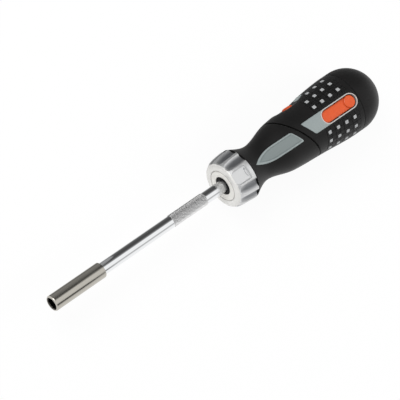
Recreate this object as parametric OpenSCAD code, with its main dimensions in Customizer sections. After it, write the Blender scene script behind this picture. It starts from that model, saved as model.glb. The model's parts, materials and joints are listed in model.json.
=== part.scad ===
/* [Bit socket and shaft] */
// Length of the bit socket sleeve
sleeve_l = 36.2; // [30:0.1:45]
// Outside diameter of the bit socket sleeve
sleeve_d = 9.5; // [9:0.1:11]
// Width across flats of the hexagonal bit shank
bit_af = 6.35; // [6.25:0.01:6.4]
// Length of one spare bit
bit_l = 25.4; // [22:0.1:26]
// Depth of the hexagonal socket down to the magnet
socket_depth = 13; // [10:0.5:16]
// Diameter of the magnet at the bottom of the socket
magnet_d = 5.8; // [5:0.1:6]
// Thickness of the magnet
magnet_t = 3; // [2:0.5:4]
// Diameter of the polished shaft
shaft_d = 7.3; // [7:0.1:7.6]
// Distance from the socket's mouth to the front face of the collar
shaft_reach = 128.8; // [125:0.1:150]
// Distance from the knurled band to the collar
knurl_back = 14.7; // [12:0.1:20]
// Length of the knurled band
knurl_l = 25.8; // [15:0.1:30]
// Height of the knurled band over the shaft
knurl_h = 0.2; // [0.1:0.05:0.4]

/* [Selector collar] */
// Length of the selector collar
collar_l = 13.5; // [13.4:0.1:15]
// Diameter of the collar's rear rim
collar_d = 32.4; // [32:0.1:36]
// Diameter of the collar's flat front face
collar_face_d = 26; // [25:0.1:27]
// Diameter of the front plate inside the collar's face
plate_d = 19.5; // [18.5:0.1:20]
// Diameter of the black bush round the shaft
bush_d = 11.4; // [10.8:0.1:11.8]
// Width of one recessed thumb panel on the collar
panel_w = 8; // [7:0.1:8.2]
// Length of one recessed thumb panel
panel_l = 10.2; // [8:0.1:10.5]
// Radius of one flute between the thumb panels
flute_r = 4.6; // [4.4:0.1:5.2]
// Turn of the collar from the middle to either side
selector_turn = 20; // [15:1:22]

/* [Ratchet] */
// Number of teeth on the ratchet gear
teeth = 24; // [24:12:24]
// Tip diameter of the ratchet gear
gear_d = 11.2; // [11.1:0.05:11.3]
// Depth of one tooth
tooth_h = 0.7; // [0.6:0.05:0.8]
// Length of the ratchet gear
gear_l = 6.4; // [5.5:0.1:6.4]
// Outside diameter of the ratchet housing
housing_d = 25; // [24.6:0.1:25]
// Diameter of the pawl pins
pawl_pin_d = 1.6; // [1.2:0.1:1.8]

/* [Handle] */
// Diameter of the flange behind the collar
flange_d = 32; // [30:0.1:32.2]
// Diameter of the neck
neck_d = 23.2; // [23:0.1:24.5]
// Distance from the flange to the neck
neck_at = 12.9; // [12:0.1:14]
// Diameter at the shoulder
shoulder_d = 31.7; // [31:0.1:33]
// Distance from the flange to the shoulder
shoulder_at = 31.9; // [31:0.1:34]
// Diameter at the middle of the rear grip
waist_d = 35.5; // [35:0.1:36.5]
// Distance from the flange to the middle of the rear grip
waist_at = 57.3; // [55:0.1:59]
// Greatest diameter of the handle, also that of the dome
hip_d = 38.8; // [38.6:0.1:41]
// Length of the cap's straight part
cap_straight = 3.7; // [3:0.1:5]
// Thickness of the rubber over the core
rubber_t = 1.6; // [1.3:0.1:1.8]

/* [Swivel] */
// Distance from the flange to the middle of the oblique joint
seam_at = 40.2; // [40:0.1:40.6]
// Angle of the swivel axis to the shaft
seam_tilt = 30; // [28:1:31]
// Distance from the oblique joint to the bit magazine's room
swivel_room = 14.05; // [14:0.05:15]
// Width of the gap that shows between the two grips
seam_gap = 0.9; // [0.6:0.1:1.2]
// Diameter of the two swivel plates
swivel_d = 26; // [24:0.5:27]
// Diameter of the pivot bolt
bolt_d = 5; // [4:0.5:5]
// Diameter of the lock pin
lock_pin_d = 3; // [2.6:0.1:3]
// Travel of the lock button
lock_travel = 1.5; // [1:0.1:1.5]

/* [Grey and orange pieces] */
// Width of the front inlay
lance_w = 8.5; // [8:0.1:10]
// Length of the front inlay's pointed part
lance_tip_l = 17; // [12:0.5:18]
// Distance from the flange to the front inlay's point
lance_front = 4.5; // [4.2:0.1:6]
// Distance from the front inlay to the oblique joint
lance_back = 3.8; // [3.5:0.1:5]
// Width of the long grey panel
bezel_w = 9.8; // [9.4:0.1:10.4]
// Width of the orange release lever's window
window_w = 8.5; // [8:0.1:8.6]
// Distance from the oblique joint to the long panel
panel_back = 4.7; // [4.5:0.1:6]
// Distance from the oblique joint to the release lever's window
window_back = 15.8; // [15.5:0.1:17]
// Distance from the window to the cap's joint
window_front = 1.5; // [1.4:0.1:2.5]
// Depth of the lever's face below the grip
lever_sink = 1.5; // [1.3:0.1:1.6]
// Swing of the release lever
lever_swing = 3; // [1:0.5:3.5]
// Diameter of the lever's round nub
nub_d = 7.4; // [5:0.1:7.4]
// Distance from the oblique joint to the middle of the small lock button
button_back = 10; // [9.9:0.1:10.1]
// Height of the small lock button over its scoop
button_h = 1.5; // [1.5:0.1:1.8]
// Length of the small lock button along the tool
button_l = 4.2; // [3.6:0.1:4.6]
// Width of the small lock button across the tool
button_w = 7; // [6.8:0.1:8]
// Side of one square grip stud
stud_w = 2.2; // [2:0.1:3]
// Pitch of the studs along the tool
stud_pitch = 6.4; // [5:0.1:6.4]

/* [Bit magazine] */
// Number of spare bits
bits = 6; // [6:1:6]
// Length of a bit that stays in the grip when the magazine is out
bit_hold = 0.4; // [0.4:0.1:5]

/* [Hidden] */

// Smoothness of the round pieces
round_fn = 96;
// Gap round a piece that turns or slides in its seat
run_gap = 0.05;
// Gap round a piece that stays in its seat
seat_gap = 0.1;
// Gap between pieces that pass each other
pass_gap = 0.3;
// Least wall of a moulded or machined piece
wall = 1.4;
// Width of an edge's chamfer
edge = 0.5;
// Overrun of a cut past the face that it starts from
over = 1;
// Slack that is left where a latch or stop stands at rest
stop_gap = 0.15;

sleeve_r = sleeve_d / 2;
shaft_r = shaft_d / 2;
bit_r = bit_af / 2 / cos(30);
shaft_seat_at = socket_depth + magnet_t + wall;
knurl_at = shaft_reach - knurl_back - knurl_l;
collar_end = shaft_reach + collar_l;
collar_r = collar_d / 2;
collar_face_r = collar_face_d / 2;
plate_r = plate_d / 2;
bush_r = bush_d / 2;
handle_at = collar_end + pass_gap;

// Face of the front plate, the cover and the ratchet behind it, one behind the other along the shaft
plate_lip = 0.2;
plate_t = 1.6;
collar_lip_t = 1.6;
cover_t = 1.7;
plate_at = shaft_reach + plate_lip;
plate_back = plate_at + plate_t;
cover_at = plate_back + collar_lip_t + 2 * seat_gap;
cover_back = cover_at + cover_t;
nose_r = bush_r + 2 * wall - rubber_t / 2;
gear_at = cover_back + pass_gap;
gear_end = gear_at + gear_l;
gear_r = gear_d / 2;
root_r = gear_r - tooth_h;
pocket_end = gear_end + pass_gap;
housing_r = housing_d / 2;
housing_end = handle_at + 2 * wall;
rear_bush_l = housing_end - pocket_end;
spigot_r = neck_d / 2 - rubber_t - wall - seat_gap;
spigot_l = 8;
spigot_end = housing_end + spigot_l;
drive_af = 6.2;
journal_r = drive_af / 2 - seat_gap;
rear_bush_r = journal_r + wall;
washer_t = 0.5;
clip_t = 0.8;
clip_at = housing_end + pass_gap + washer_t + run_gap;
clip_r = rear_bush_r + wall / 2;
clip_groove_r = journal_r - edge;
shaft_end = clip_at + clip_t + wall;

// Pawls lie above and below the gear, and their noses stand in the tooth gaps nearest this direction
nose_dir = 67.5;
nose_tip_r = root_r + 2 * seat_gap;
pawl_y = 6.6;
pawl_z = gear_r + wall;
pawl_boss_r = 1.8;
pawl_pin_r = pawl_pin_d / 2;
pawl_arm = 1.9;
pawl_lift = 5;
pawl_spring_r = 0.9;
pawl_spring_y = 1.2;
detent_r = 1.2;
detent_at = (gear_at + gear_end) / 2;
detent_out = housing_r + detent_r / 2;

// Handle outline: stations along the handle and the slope there
neck_r = neck_d / 2;
hip_r = hip_d / 2;
hip_back = 2;
flange_slope = -0.5;
shoulder_slope = 0.12;
waist_slope = 0.085;
seam_x = handle_at + seam_at;
magazine_travel = bit_l - bit_hold;
lip_t = 1.2;
guide_t = 2.4;
cavity_at = seam_x + swivel_room;
guide_at = cavity_at + pass_gap;
handle_end = guide_at + guide_t + pass_gap / 2 + magazine_travel + lip_t;
grip_l = handle_end - handle_at;
stations = [
    [handle_at, flange_d / 2, flange_slope],
    [handle_at + neck_at, neck_r, 0],
    [handle_at + shoulder_at, shoulder_d / 2, shoulder_slope],
    [handle_at + waist_at, waist_d / 2, waist_slope],
    [handle_end - hip_back, hip_r, 0],
    [handle_end + hip_r, hip_r, 0]];
bands = 7;
cap_at = handle_end + pass_gap;
dome_at = cap_at + cap_straight;
cap_shell = 2;

// Swivel joint, measured along its own axis from the middle of the seam
swivel_r = swivel_d / 2;
plate_gap = run_gap;
front_plate_t = 5;
rear_plate_t = 2.6;
groove_r = 6.8;
groove_d = 1.5;
lock_hole_d = 3;
bolt_r = bolt_d / 2;
bolt_head_r = 4.2;
bolt_head_l = 3.5;
bolt_head_at = rear_plate_t + 2 * wall + seat_gap;
nut_l = 4;
nut_at = -(front_plate_t + 2 * wall + washer_t + nut_l + 4 * plate_gap);
nut_af = 8;
nut_room_r = nut_af / 2 / cos(30) + wall;
washer_r = bolt_r + 2 * wall;
lock_r = lock_pin_d / 2;
lock_tip = -plate_gap - groove_d + 2 * seat_gap;
lock_collar_at = bolt_head_at + bolt_head_l + pass_gap;
lock_collar_l = 2;
lock_collar_r = lock_r + seat_gap * 6;
lock_spring_l = 2.7;
cross_r = 0.8;
cross_reach = button_w / 2 - seat_gap;

// Bit magazine
cavity_r = 14.2;
carrier_r = cavity_r - wall / 2;
guide_r = cavity_r - seat_gap;
mouth_r = carrier_r + stop_gap;
bits_at = guide_at + guide_t + over;
bit_circle_r = carrier_r - bit_r - seat_gap;
bit_slot_w = bit_af + 2 * seat_gap;
hub_r = bit_circle_r - bit_r - seat_gap;

// Grey and orange pieces
seam_lean = tan(seam_tilt);
lance_at = handle_at + lance_front;
lance_rear = seam_x - lance_back;
point_share = 4;
corner = 1;
panel_lift = 0.15;
border = 0.8;
field_d = 0.4;
panel_front = seam_x + panel_back;
window_at = seam_x + window_back;
window_end = handle_end - window_front;
window_l = window_end - window_at;
window_r = window_w / 2;
rim = (bezel_w - window_w) / 2;
lever_gap = 0.25;
lever_r = window_r - lever_gap;
lever_t = 1.4;
lever_front_z = handle_r(window_at) - lever_sink;
lever_rear_z = handle_r(window_end) - lever_sink;
lever_slope = atan((lever_rear_z - lever_front_z) / window_l);
lever_pin_r = 0.8;
lever_pin_at = window_at + window_l * 0.45;
lever_pin_z = lever_front_z + (lever_pin_at - window_at) * tan(lever_slope) - lever_t + seat_gap;
nub_at = window_end - nub_d / 2 - border;
nub_h = 0.9;
button_x = seam_x + button_back;
scoop_r = 30;
scoop_y = 15.3;
scoop_at = button_x - button_l / 4;
button_top = scoop_y + button_h;
ramp_at = button_x + button_l / 2 + 2 * pass_gap + wall;
ramp_l = 7.5;
stud_first = window_at + border;
stud_rows = [29.2, 48.7, 68.5];
studs = 4;

// Screws, pins and springs of the ratchet
cover_screw_r = 0.9;
cover_head_r = 1.6;
cover_head_t = 0.9;
cover_screw_l = 6;
cover_screw_circle = housing_r - wall - cover_screw_r / 2;
detent_seat = gear_r + 2 * wall;
detent_lead = 8;
detent_arc = selector_turn + detent_lead;
pawl_spring_room = 1.1;
pawl_spring_top = pawl_z + pawl_arm + pawl_spring_room;
pawl_back_z = pawl_z + pawl_arm / 2 + seat_gap * 1.5;
pawl_tip_y = nose_tip_r * cos(nose_dir);
pawl_tip_z = nose_tip_r * sin(nose_dir);
nose_w = 0.12;
pin_at = housing_end + spigot_l * 0.6;
housing_pin_r = 1;
spring_wire = 0.3;
spring_turns = 3;

// Thumb panels and flutes of the collar
panel_at = shaft_reach + edge * 1.4;
panel_corner = panel_w / 5;
panel_z = collar_face_r + pass_gap;
panel_tilt = 6.5;
flute_z = collar_face_r + 2 * pass_gap;
flute_tilt = 4.5;
panels = 3;
flute_turns = [32, 60, 88];

// Screws of the swivel plate, cross pin, cheeks of the lock button and room of the lock spring
core_front = housing_end + seat_gap;
plate_screw_r = 1;
plate_screw_l = 8;
plate_head_r = 1.9;
plate_screw_circle = swivel_r - plate_head_r - pass_gap;
cross_at = lock_collar_at + lock_collar_l / 2;
cross_x = seam_x + cross_at * cos(seam_tilt) - groove_r * sin(seam_tilt);
cross_y = cross_at * sin(seam_tilt) + groove_r * cos(seam_tilt);
lock_spring_at = lock_collar_at + lock_collar_l + run_gap;
lock_pocket_end = lock_spring_at + lock_spring_l + run_gap;
cheek_t = 1.1;
cheek_in = button_w / 2 - cheek_t;
cheek_front = cross_x - cross_r * 2.6;
cheek_low = cross_y - 2 * cross_r;
cap_web = 0.8;
cheek_cap_y = sqrt(pow(handle_r(cheek_front) - rubber_t, 2) - pow(button_w / 2, 2)) - 2 * seat_gap;

// Release lever's tooth and boss, its leaf spring, the cap screw and the tips of the spare bits
lever_tooth_l = 2;
lever_boss = 2.2;
leaf_l = window_end - 2 * window_r / 3 - lever_pin_at - lever_boss - lever_gap;
leaf_t = 0.25;
leaf_w = 4;
carrier_end = cap_at - run_gap;
cap_screw_r = 1.5;
tip_shares = [0.35, 0.35, 0.27, 0.46, 0.46, 0.36];
curve_steps = 12;

// Radius of the handle at a place along the tool, on smooth curves between the stations
function hermite(a, b, x) =
    let (h = b[0] - a[0], t = (x - a[0]) / h)
    a[1] * (2 * pow(t, 3) - 3 * pow(t, 2) + 1) + h * a[2] * (pow(t, 3) - 2 * pow(t, 2) + t)
    + b[1] * (3 * pow(t, 2) - 2 * pow(t, 3)) + h * b[2] * (pow(t, 3) - pow(t, 2));
function segment(x, i = 0) =
    i >= len(stations) - 2 || x < stations[i + 1][0] ? i : segment(x, i + 1);
function handle_r(x) = let (i = segment(x)) hermite(stations[i], stations[i + 1], x);
// Outline points [radius, place] of the handle from x0 to x1, drawn in by inset
function outline(x0, x1, inset = 0) =
    let (n = max(2, ceil((x1 - x0) / grip_l * bands * 4)))
    [for (i = [0:n]) let (x = x0 + (x1 - x0) * i / n) [handle_r(x) - inset, x]];

// Turns a [radius, place] profile about the tool's axis
module spin(fn = round_fn) {
    rotate([0, 90, 0]) rotate_extrude($fn = fn) children();
}
// Rod along the tool's axis
module rod(x0, x1, r, fn = round_fn) {
    translate([x0, 0, 0]) rotate([0, 90, 0]) cylinder(h = x1 - x0, r = r, $fn = fn);
}
// Tube along the tool's axis
module tube(x0, x1, r_out, r_in, fn = round_fn) {
    difference() {
        rod(x0, x1, r_out, fn);
        rod(x0 - over, x1 + over, r_in, fn);
    }
}
// Hexagonal bar along the tool's axis
module hex_bar(x0, x1, af) {
    translate([x0, 0, 0]) rotate([0, 90, 0]) rotate([0, 0, 30]) cylinder(h = x1 - x0, r = af / 2 / cos(30),
        $fn = 6);
}
// Puts a shape drawn across the tool at its place: its own x, y and z run along Y, Z and X
module across(x0) {
    translate([x0, 0, 0]) rotate([90, 0, 90]) children();
}
// Puts a shape at the swivel: its own z is the swivel's axis, its own y lies in the seam towards the button
module at_seam(s = 0) {
    translate([seam_x, 0, 0]) rotate([0, 0, seam_tilt]) rotate([0, 90, 0]) translate([0, 0, s]) children();
}
// Everything on one side of the seam, from s onwards
module behind_seam(s) {
    at_seam(s) translate([0, 0, grip_l]) cube(2 * grip_l, center = true);
}
module before_seam(s) {
    at_seam(s) translate([0, 0, -grip_l]) cube(2 * grip_l, center = true);
}
// Solid of the handle's outer shape between two places, drawn in by inset
module handle_solid(x0, x1, inset = 0) {
    spin() polygon(concat([[0, x0]], outline(x0, x1, inset), [[0, x1]]));
}
// Thin skin of the handle between two depths
module handle_skin(x0, x1, depth, lift) {
    difference() {
        handle_solid(x0, x1, -lift);
        handle_solid(x0 - over, x1 + over, depth);
    }
}

module bit_socket() {
    color([0.62, 0.60, 0.58]) difference() {
        spin() polygon([[0, 0], [sleeve_r - edge, 0], [sleeve_r, edge], [sleeve_r, sleeve_l - edge],
            [sleeve_r - edge, sleeve_l], [0, sleeve_l]]);
        hex_bar(-over, socket_depth, bit_af + seat_gap);
        rod(socket_depth - over, socket_depth + magnet_t, magnet_d / 2 + run_gap);
        rod(shaft_seat_at, sleeve_l + over, shaft_r + run_gap);
    }
}
module socket_magnet() {
    color([0.3, 0.3, 0.32]) rod(socket_depth, socket_depth + magnet_t, magnet_d / 2);
}
module blade_shaft() {
    color([0.8, 0.8, 0.82]) union() {
        rod(shaft_seat_at, gear_at - pass_gap, shaft_r);
        spin() polygon([[0, knurl_at], [shaft_r, knurl_at], [shaft_r + knurl_h, knurl_at + edge],
            [shaft_r + knurl_h, knurl_at + knurl_l - edge], [shaft_r, knurl_at + knurl_l], [0,
                knurl_at + knurl_l]]);
        hex_bar(gear_at - pass_gap, gear_end, drive_af);
        spin() polygon([[0, gear_at], [journal_r, gear_at], [journal_r, clip_at], [clip_groove_r, clip_at],
            [clip_groove_r, clip_at + clip_t], [journal_r, clip_at + clip_t], [journal_r, shaft_end - edge],
            [journal_r - edge, shaft_end], [0, shaft_end]]);
    }
}
module ratchet_gear() {
    color([0.45, 0.45, 0.47]) difference() {
        across(gear_at) linear_extrude(gear_l) polygon([for (i = [0:2 * teeth - 1])
            let (r = i % 2 == 0 ? gear_r : root_r) r * [cos(180 * i / teeth), sin(180 * i / teeth)]]);
        hex_bar(gear_at - over, gear_end + over, drive_af + seat_gap);
    }
}
module thrust_washer() {
    color([0.75, 0.7, 0.5]) tube(housing_end + pass_gap / 2, housing_end + pass_gap / 2 + washer_t, clip_r,
        journal_r + run_gap);
}
module shaft_clip() {
    color([0.25, 0.25, 0.27]) difference() {
        tube(clip_at + run_gap, clip_at + clip_t - run_gap, clip_r, clip_groove_r + run_gap);
        translate([clip_at - over, -clip_groove_r, -2 * clip_r])
            cube([clip_t + 2 * over, 2 * clip_groove_r, 2 * clip_r]);
    }
}
module front_plate() {
    color([0.88, 0.87, 0.84]) spin() polygon([[bush_r + run_gap, plate_at], [plate_r - edge / 2, plate_at],
        [plate_r, plate_at + edge / 2], [plate_r, plate_back], [nose_r - seat_gap - wall / 2, plate_back],
        [nose_r - seat_gap - wall / 2, cover_at], [bush_r + run_gap, cover_at]]);
}
module shaft_bush() {
    color([0.05, 0.05, 0.05]) tube(plate_at + plate_lip, cover_back, bush_r, shaft_r + run_gap);
}
module ratchet_cover() {
    color([0.6, 0.6, 0.62]) difference() {
        spin() polygon([[bush_r + run_gap, cover_at + seat_gap], [nose_r - wall / 2, cover_at + seat_gap],
            [nose_r - wall / 2, plate_back], [nose_r, plate_back], [nose_r, cover_at], [housing_r,
                cover_at],
            [housing_r, cover_back], [bush_r + run_gap, cover_back]]);
        cover_screw_holes(cover_screw_r + seat_gap);
        at_cover_screws() rod(cover_at - over, cover_at + cover_head_t + run_gap, cover_head_r + seat_gap);
    }
}
module at_cover_screws() {
    for (a = [50, -50, 180]) rotate([a, 0, 0]) translate([0, cover_screw_circle, 0]) children();
}
module cover_screw_holes(r) {
    at_cover_screws() rod(cover_at - over, cover_at + cover_screw_l + seat_gap, r, 32);
}
module cover_screws() {
    color([0.3, 0.3, 0.3]) at_cover_screws() difference() {
        union() {
            rod(cover_at, cover_at + cover_head_t, cover_head_r, 32);
            rod(cover_at + cover_head_t, cover_at + cover_screw_l, cover_screw_r, 32);
        }
        hex_bar(cover_at - over, cover_at + cover_head_t / 2, cover_screw_r * 1.4);
    }
}
// Room that one pawl needs to swing, drawn across the tool
module pawl_room() {
    translate([-pawl_y, pawl_z]) circle(pawl_boss_r + pass_gap, $fn = 48);
    polygon([[-pawl_y, pawl_z - pawl_boss_r - pass_gap], [-gear_r / 2, gear_r - pass_gap],
        [pawl_tip_y + 2 * wall, gear_r / 2], [pawl_tip_y + 2 * wall, pawl_z + pawl_arm],
        [-pawl_y, pawl_z + pawl_boss_r + pass_gap]]);
}
module ratchet_housing() {
    color([0.5, 0.5, 0.52]) difference() {
        union() {
            rod(cover_back, housing_end, housing_r);
            rod(housing_end, spigot_end, spigot_r);
        }
        across(cover_back - over) linear_extrude(pocket_end - cover_back + over) {
            circle(gear_r + pass_gap, $fn = round_fn);
            pawl_room();
            mirror([0, 1]) pawl_room();
        }
        rod(pocket_end - over, housing_end + over, rear_bush_r + run_gap);
        rod(housing_end, spigot_end + over, clip_r + pass_gap);
        for (side = [1, -1]) pawl_pin_at(side) rod(cover_back, pocket_end + wall, pawl_pin_r + run_gap, 32);
        for (side = [1, -1]) scale([1, 1, side]) pawl_spring_hole();
        translate([detent_at, detent_seat, 0]) rotate([-90, 0, 0])
            cylinder(h = housing_r, r = detent_r + run_gap, $fn = 32);
        cover_screw_holes(cover_screw_r + run_gap);
        housing_pin_holes();
    }
}
module pawl_spring_hole() {
    translate([(gear_at + gear_end) / 2, pawl_spring_y, pawl_z])
        cylinder(h = pawl_spring_top - pawl_z, r = pawl_spring_r + seat_gap, $fn = 32);
}
module rear_bush() {
    color([0.8, 0.65, 0.35]) tube(pocket_end, housing_end, rear_bush_r, journal_r + run_gap);
}
module housing_pin_holes(r = housing_pin_r + run_gap) {
    translate([pin_at, 0, 0]) for (side = [1, -1]) scale([1, 1, side])
        translate([0, 0, clip_r + pass_gap - over]) cylinder(h = neck_r - rubber_t - clip_r + over, r = r,
            $fn = 32);
}
module housing_pins() {
    color([0.7, 0.7, 0.7]) translate([pin_at, 0, 0]) for (side = [1, -1]) scale([1, 1, side])
        translate([0, 0, clip_r + pass_gap + seat_gap])
            cylinder(h = neck_r - rubber_t - clip_r - 2 * pass_gap - seat_gap, r = housing_pin_r, $fn = 32);
}
module detent_ball() {
    color([0.85, 0.85, 0.85]) translate([detent_at, detent_out - detent_r, 0]) sphere(detent_r, $fn = 48);
}
// Compression spring as one wire along its own z, from the floor up, with ground ends
module coil(r, h, wire, turns, sides = 6, steps = 10) {
    n = turns * steps;
    ring = [for (k = [0:sides - 1]) wire / 2 * [cos(360 * k / sides), sin(360 * k / sides)]];
    points = [for (i = [0:n]) let (a = 360 * i / steps, z = wire / 2 + (h - wire) * i / n)
        for (p = ring) [(r - wire / 2 + p[0]) * cos(a), (r - wire / 2 + p[0]) * sin(a), z + p[1]]];
    sides_of_tube = [for (i = [0:n - 1]) for (k = [0:sides - 1])
        let (a = i * sides + k, b = i * sides + (k + 1) % sides)
        for (f = [[a, b + sides, b], [a, a + sides, b + sides]]) f];
    ends = [for (k = [1:sides - 2]) for (f = [[0, k, k + 1], [n * sides, n * sides + k + 1,
        n * sides + k]]) f];
    polyhedron(points, concat(sides_of_tube, ends));
}
module detent_spring() {
    color([0.6, 0.6, 0.6]) translate([detent_at, detent_seat, 0]) rotate([-90, 0, 0])
        coil(detent_r - seat_gap, detent_out - 2 * detent_r - detent_seat, spring_wire, spring_turns);
}
module selector_collar() {
    color([0.8, 0.82, 0.85]) difference() {
        spin() polygon([[0, shaft_reach], [collar_face_r, shaft_reach],
            [collar_face_r + collar_l * 0.09, shaft_reach + collar_l * 0.06],
            [collar_r - collar_l * 0.09, shaft_reach + collar_l * 0.2],
            [collar_r - collar_l * 0.04, shaft_reach + collar_l * 0.42],
            [collar_r, shaft_reach + collar_l * 0.85], [collar_r, collar_end - edge / 2],
            [collar_r - edge / 2, collar_end], [0, collar_end]]);
        rod(shaft_reach - over, plate_back + seat_gap, plate_r + seat_gap);
        rod(plate_back, cover_at, nose_r + seat_gap);
        rod(cover_at - seat_gap, collar_end + over, housing_r + seat_gap);
        for (i = [0:panels - 1]) rotate([360 / panels * i, 0, 0]) {
            thumb_panel();
            for (turn = flute_turns) rotate([turn, 0, 0]) flute();
        }
        intersection() {
            tube(detent_at - detent_r, detent_at + detent_r, detent_out + seat_gap, housing_r);
            across(detent_at - 2 * detent_r) linear_extrude(4 * detent_r)
                polygon([[0, 0], collar_r * [cos(detent_arc), sin(detent_arc)], [collar_r, 0],
                    collar_r * [cos(detent_arc), -sin(detent_arc)]]);
        }
    }
}
// Cutter of one recessed thumb panel, with its front corners cut off
module thumb_panel() {
    translate([panel_at, 0, panel_z]) rotate([0, -panel_tilt, 0]) linear_extrude(collar_r)
        polygon([[0, -panel_w / 2 + panel_corner], [panel_corner, -panel_w / 2], [panel_l, -panel_w / 2],
            [panel_l, panel_w / 2], [panel_corner, panel_w / 2], [0, panel_w / 2 - panel_corner]]);
}
// Cutter of one flute, which is open at the collar's rear
module flute() {
    translate([panel_at, 0, flute_z]) rotate([0, -flute_tilt, 0]) translate([-collar_l, 0, flute_r])
        rotate([0, 90, 0]) cylinder(h = 3 * collar_l, r = flute_r, $fn = round_fn);
}
module pawl_pin_at(side) {
    translate([0, -pawl_y, side * pawl_z]) children();
}
// One pawl drawn across the tool: boss, arm and a nose that stands in the nearest tooth gap
module pawl_shape() {
    difference() {
        union() {
            translate([-pawl_y, pawl_z]) circle(pawl_boss_r, $fn = 48);
            polygon([[-pawl_y, pawl_z - pawl_boss_r / 2], [-gear_r * 0.6, gear_r + pass_gap],
                [pawl_tip_y - edge, gear_r + pass_gap / 2], [pawl_tip_y - nose_w, pawl_tip_z],
                [pawl_tip_y + nose_w, pawl_tip_z], [pawl_tip_y + edge, gear_r + pass_gap / 2],
                [pawl_tip_y + edge * 1.5, pawl_z + pawl_arm / 4], [pawl_tip_y, pawl_z + pawl_arm / 2],
                [-pawl_y, pawl_z + pawl_boss_r - seat_gap]]);
        }
        translate([-pawl_y, pawl_z]) circle(pawl_pin_r + run_gap, $fn = 48);
    }
}
module pawl(side) {
    scale([1, 1, side]) across(gear_at + seat_gap) linear_extrude(gear_l - 2 * seat_gap) pawl_shape();
}
module pawl_left() { color([0.4, 0.4, 0.42]) pawl(1); }
module pawl_right() { color([0.4, 0.4, 0.42]) pawl(-1); }
module pawl_pin(side) {
    pawl_pin_at(side) rod(cover_back + run_gap, pocket_end + wall - run_gap, pawl_pin_r, 48);
}
module pawl_pin_left() { color([0.7, 0.7, 0.7]) pawl_pin(1); }
module pawl_pin_right() { color([0.7, 0.7, 0.7]) pawl_pin(-1); }
module pawl_spring(side) {
    scale([1, 1, side]) translate([(gear_at + gear_end) / 2, pawl_spring_y, pawl_back_z])
        coil(pawl_spring_r, pawl_spring_top - pawl_back_z - run_gap, spring_wire, spring_turns);
}
module pawl_spring_left() { color([0.6, 0.6, 0.6]) pawl_spring(1); }
module pawl_spring_right() { color([0.6, 0.6, 0.6]) pawl_spring(-1); }

module front_core() {
    color([0.2, 0.2, 0.21]) difference() {
        handle_solid(core_front, seam_x + hip_r, rubber_t + seat_gap);
        behind_seam(-seam_gap / 2);
        rod(core_front - over, spigot_end + pass_gap, spigot_r + seat_gap);
        housing_pin_holes(housing_pin_r + run_gap);
        at_seam(-front_plate_t - plate_gap) cylinder(h = grip_l, r = swivel_r + seat_gap, $fn = round_fn);
        at_seam(nut_at) cylinder(h = -nut_at, r = bolt_r + pass_gap, $fn = 48);
        at_seam(nut_at - wall) cylinder(h = nut_l + wall + washer_t + 2 * plate_gap, r = nut_room_r,
            $fn = 48);
        plate_screw_holes(plate_screw_r + run_gap);
    }
}
module front_grip() {
    color([0.1, 0.1, 0.1]) difference() {
        handle_solid(handle_at, seam_x + hip_r);
        handle_solid(core_front, seam_x + hip_r + over, rubber_t);
        rod(handle_at - over, core_front + over, housing_r + seat_gap);
        behind_seam(-seam_gap / 2);
        for (side = [1, -1]) scale([1, 1, side]) lance_block(seat_gap);
    }
}
// Outline of the front inlay seen from above: pointed front, straight sides and a rear edge along the seam
function lance_outline(grow) =
    let (w = lance_w / 2 + grow, side = [for (i = [0:curve_steps]) let (t = i / curve_steps)
        [(lance_at - point_share * grow) * (1 - t) + (lance_at + lance_tip_l) * t, w * t * (2 - t)]])
    concat(side, [[lance_rear + grow - w * seam_lean - corner, w],
        [lance_rear + grow - (w - corner) * seam_lean, w - corner],
        [lance_rear + grow + (w - corner) * seam_lean, corner - w],
        [lance_rear + grow + w * seam_lean - corner, -w]],
        [for (i = [curve_steps:-1:1]) [side[i][0], -side[i][1]]]);
module lance_block(grow) {
    linear_extrude(hip_r + over) polygon(lance_outline(grow));
}
module front_inlay(side) {
    scale([1, 1, side]) difference() {
        intersection() {
            handle_skin(handle_at, seam_x + hip_r, rubber_t - seat_gap / 2, panel_lift);
            lance_block(0);
        }
        intersection() {
            handle_skin(handle_at, seam_x + hip_r, field_d - panel_lift, over);
            lance_block(-border);
        }
    }
}
module front_inlay_top() { color([0.6, 0.64, 0.64]) front_inlay(1); }
module front_inlay_bottom() { color([0.6, 0.64, 0.64]) front_inlay(-1); }

module at_plate_screws() {
    at_seam() for (a = [180, 250, 290]) rotate(a + 30) translate([plate_screw_circle, 0, 0]) children();
}
module plate_screw_holes(r) {
    at_plate_screws() translate([0, 0, -plate_screw_l]) cylinder(h = plate_screw_l + over, r = r, $fn = 32);
}
module plate_screws() {
    color([0.3, 0.3, 0.3]) at_plate_screws() {
        translate([0, 0, -plate_screw_l + seat_gap]) cylinder(h = plate_screw_l - wall - seat_gap,
            r = plate_screw_r,
            $fn = 32);
        translate([0, 0, -wall - 2 * plate_gap]) cylinder(h = wall - plate_gap, r = plate_head_r - run_gap,
            $fn = 32);
    }
}
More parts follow.
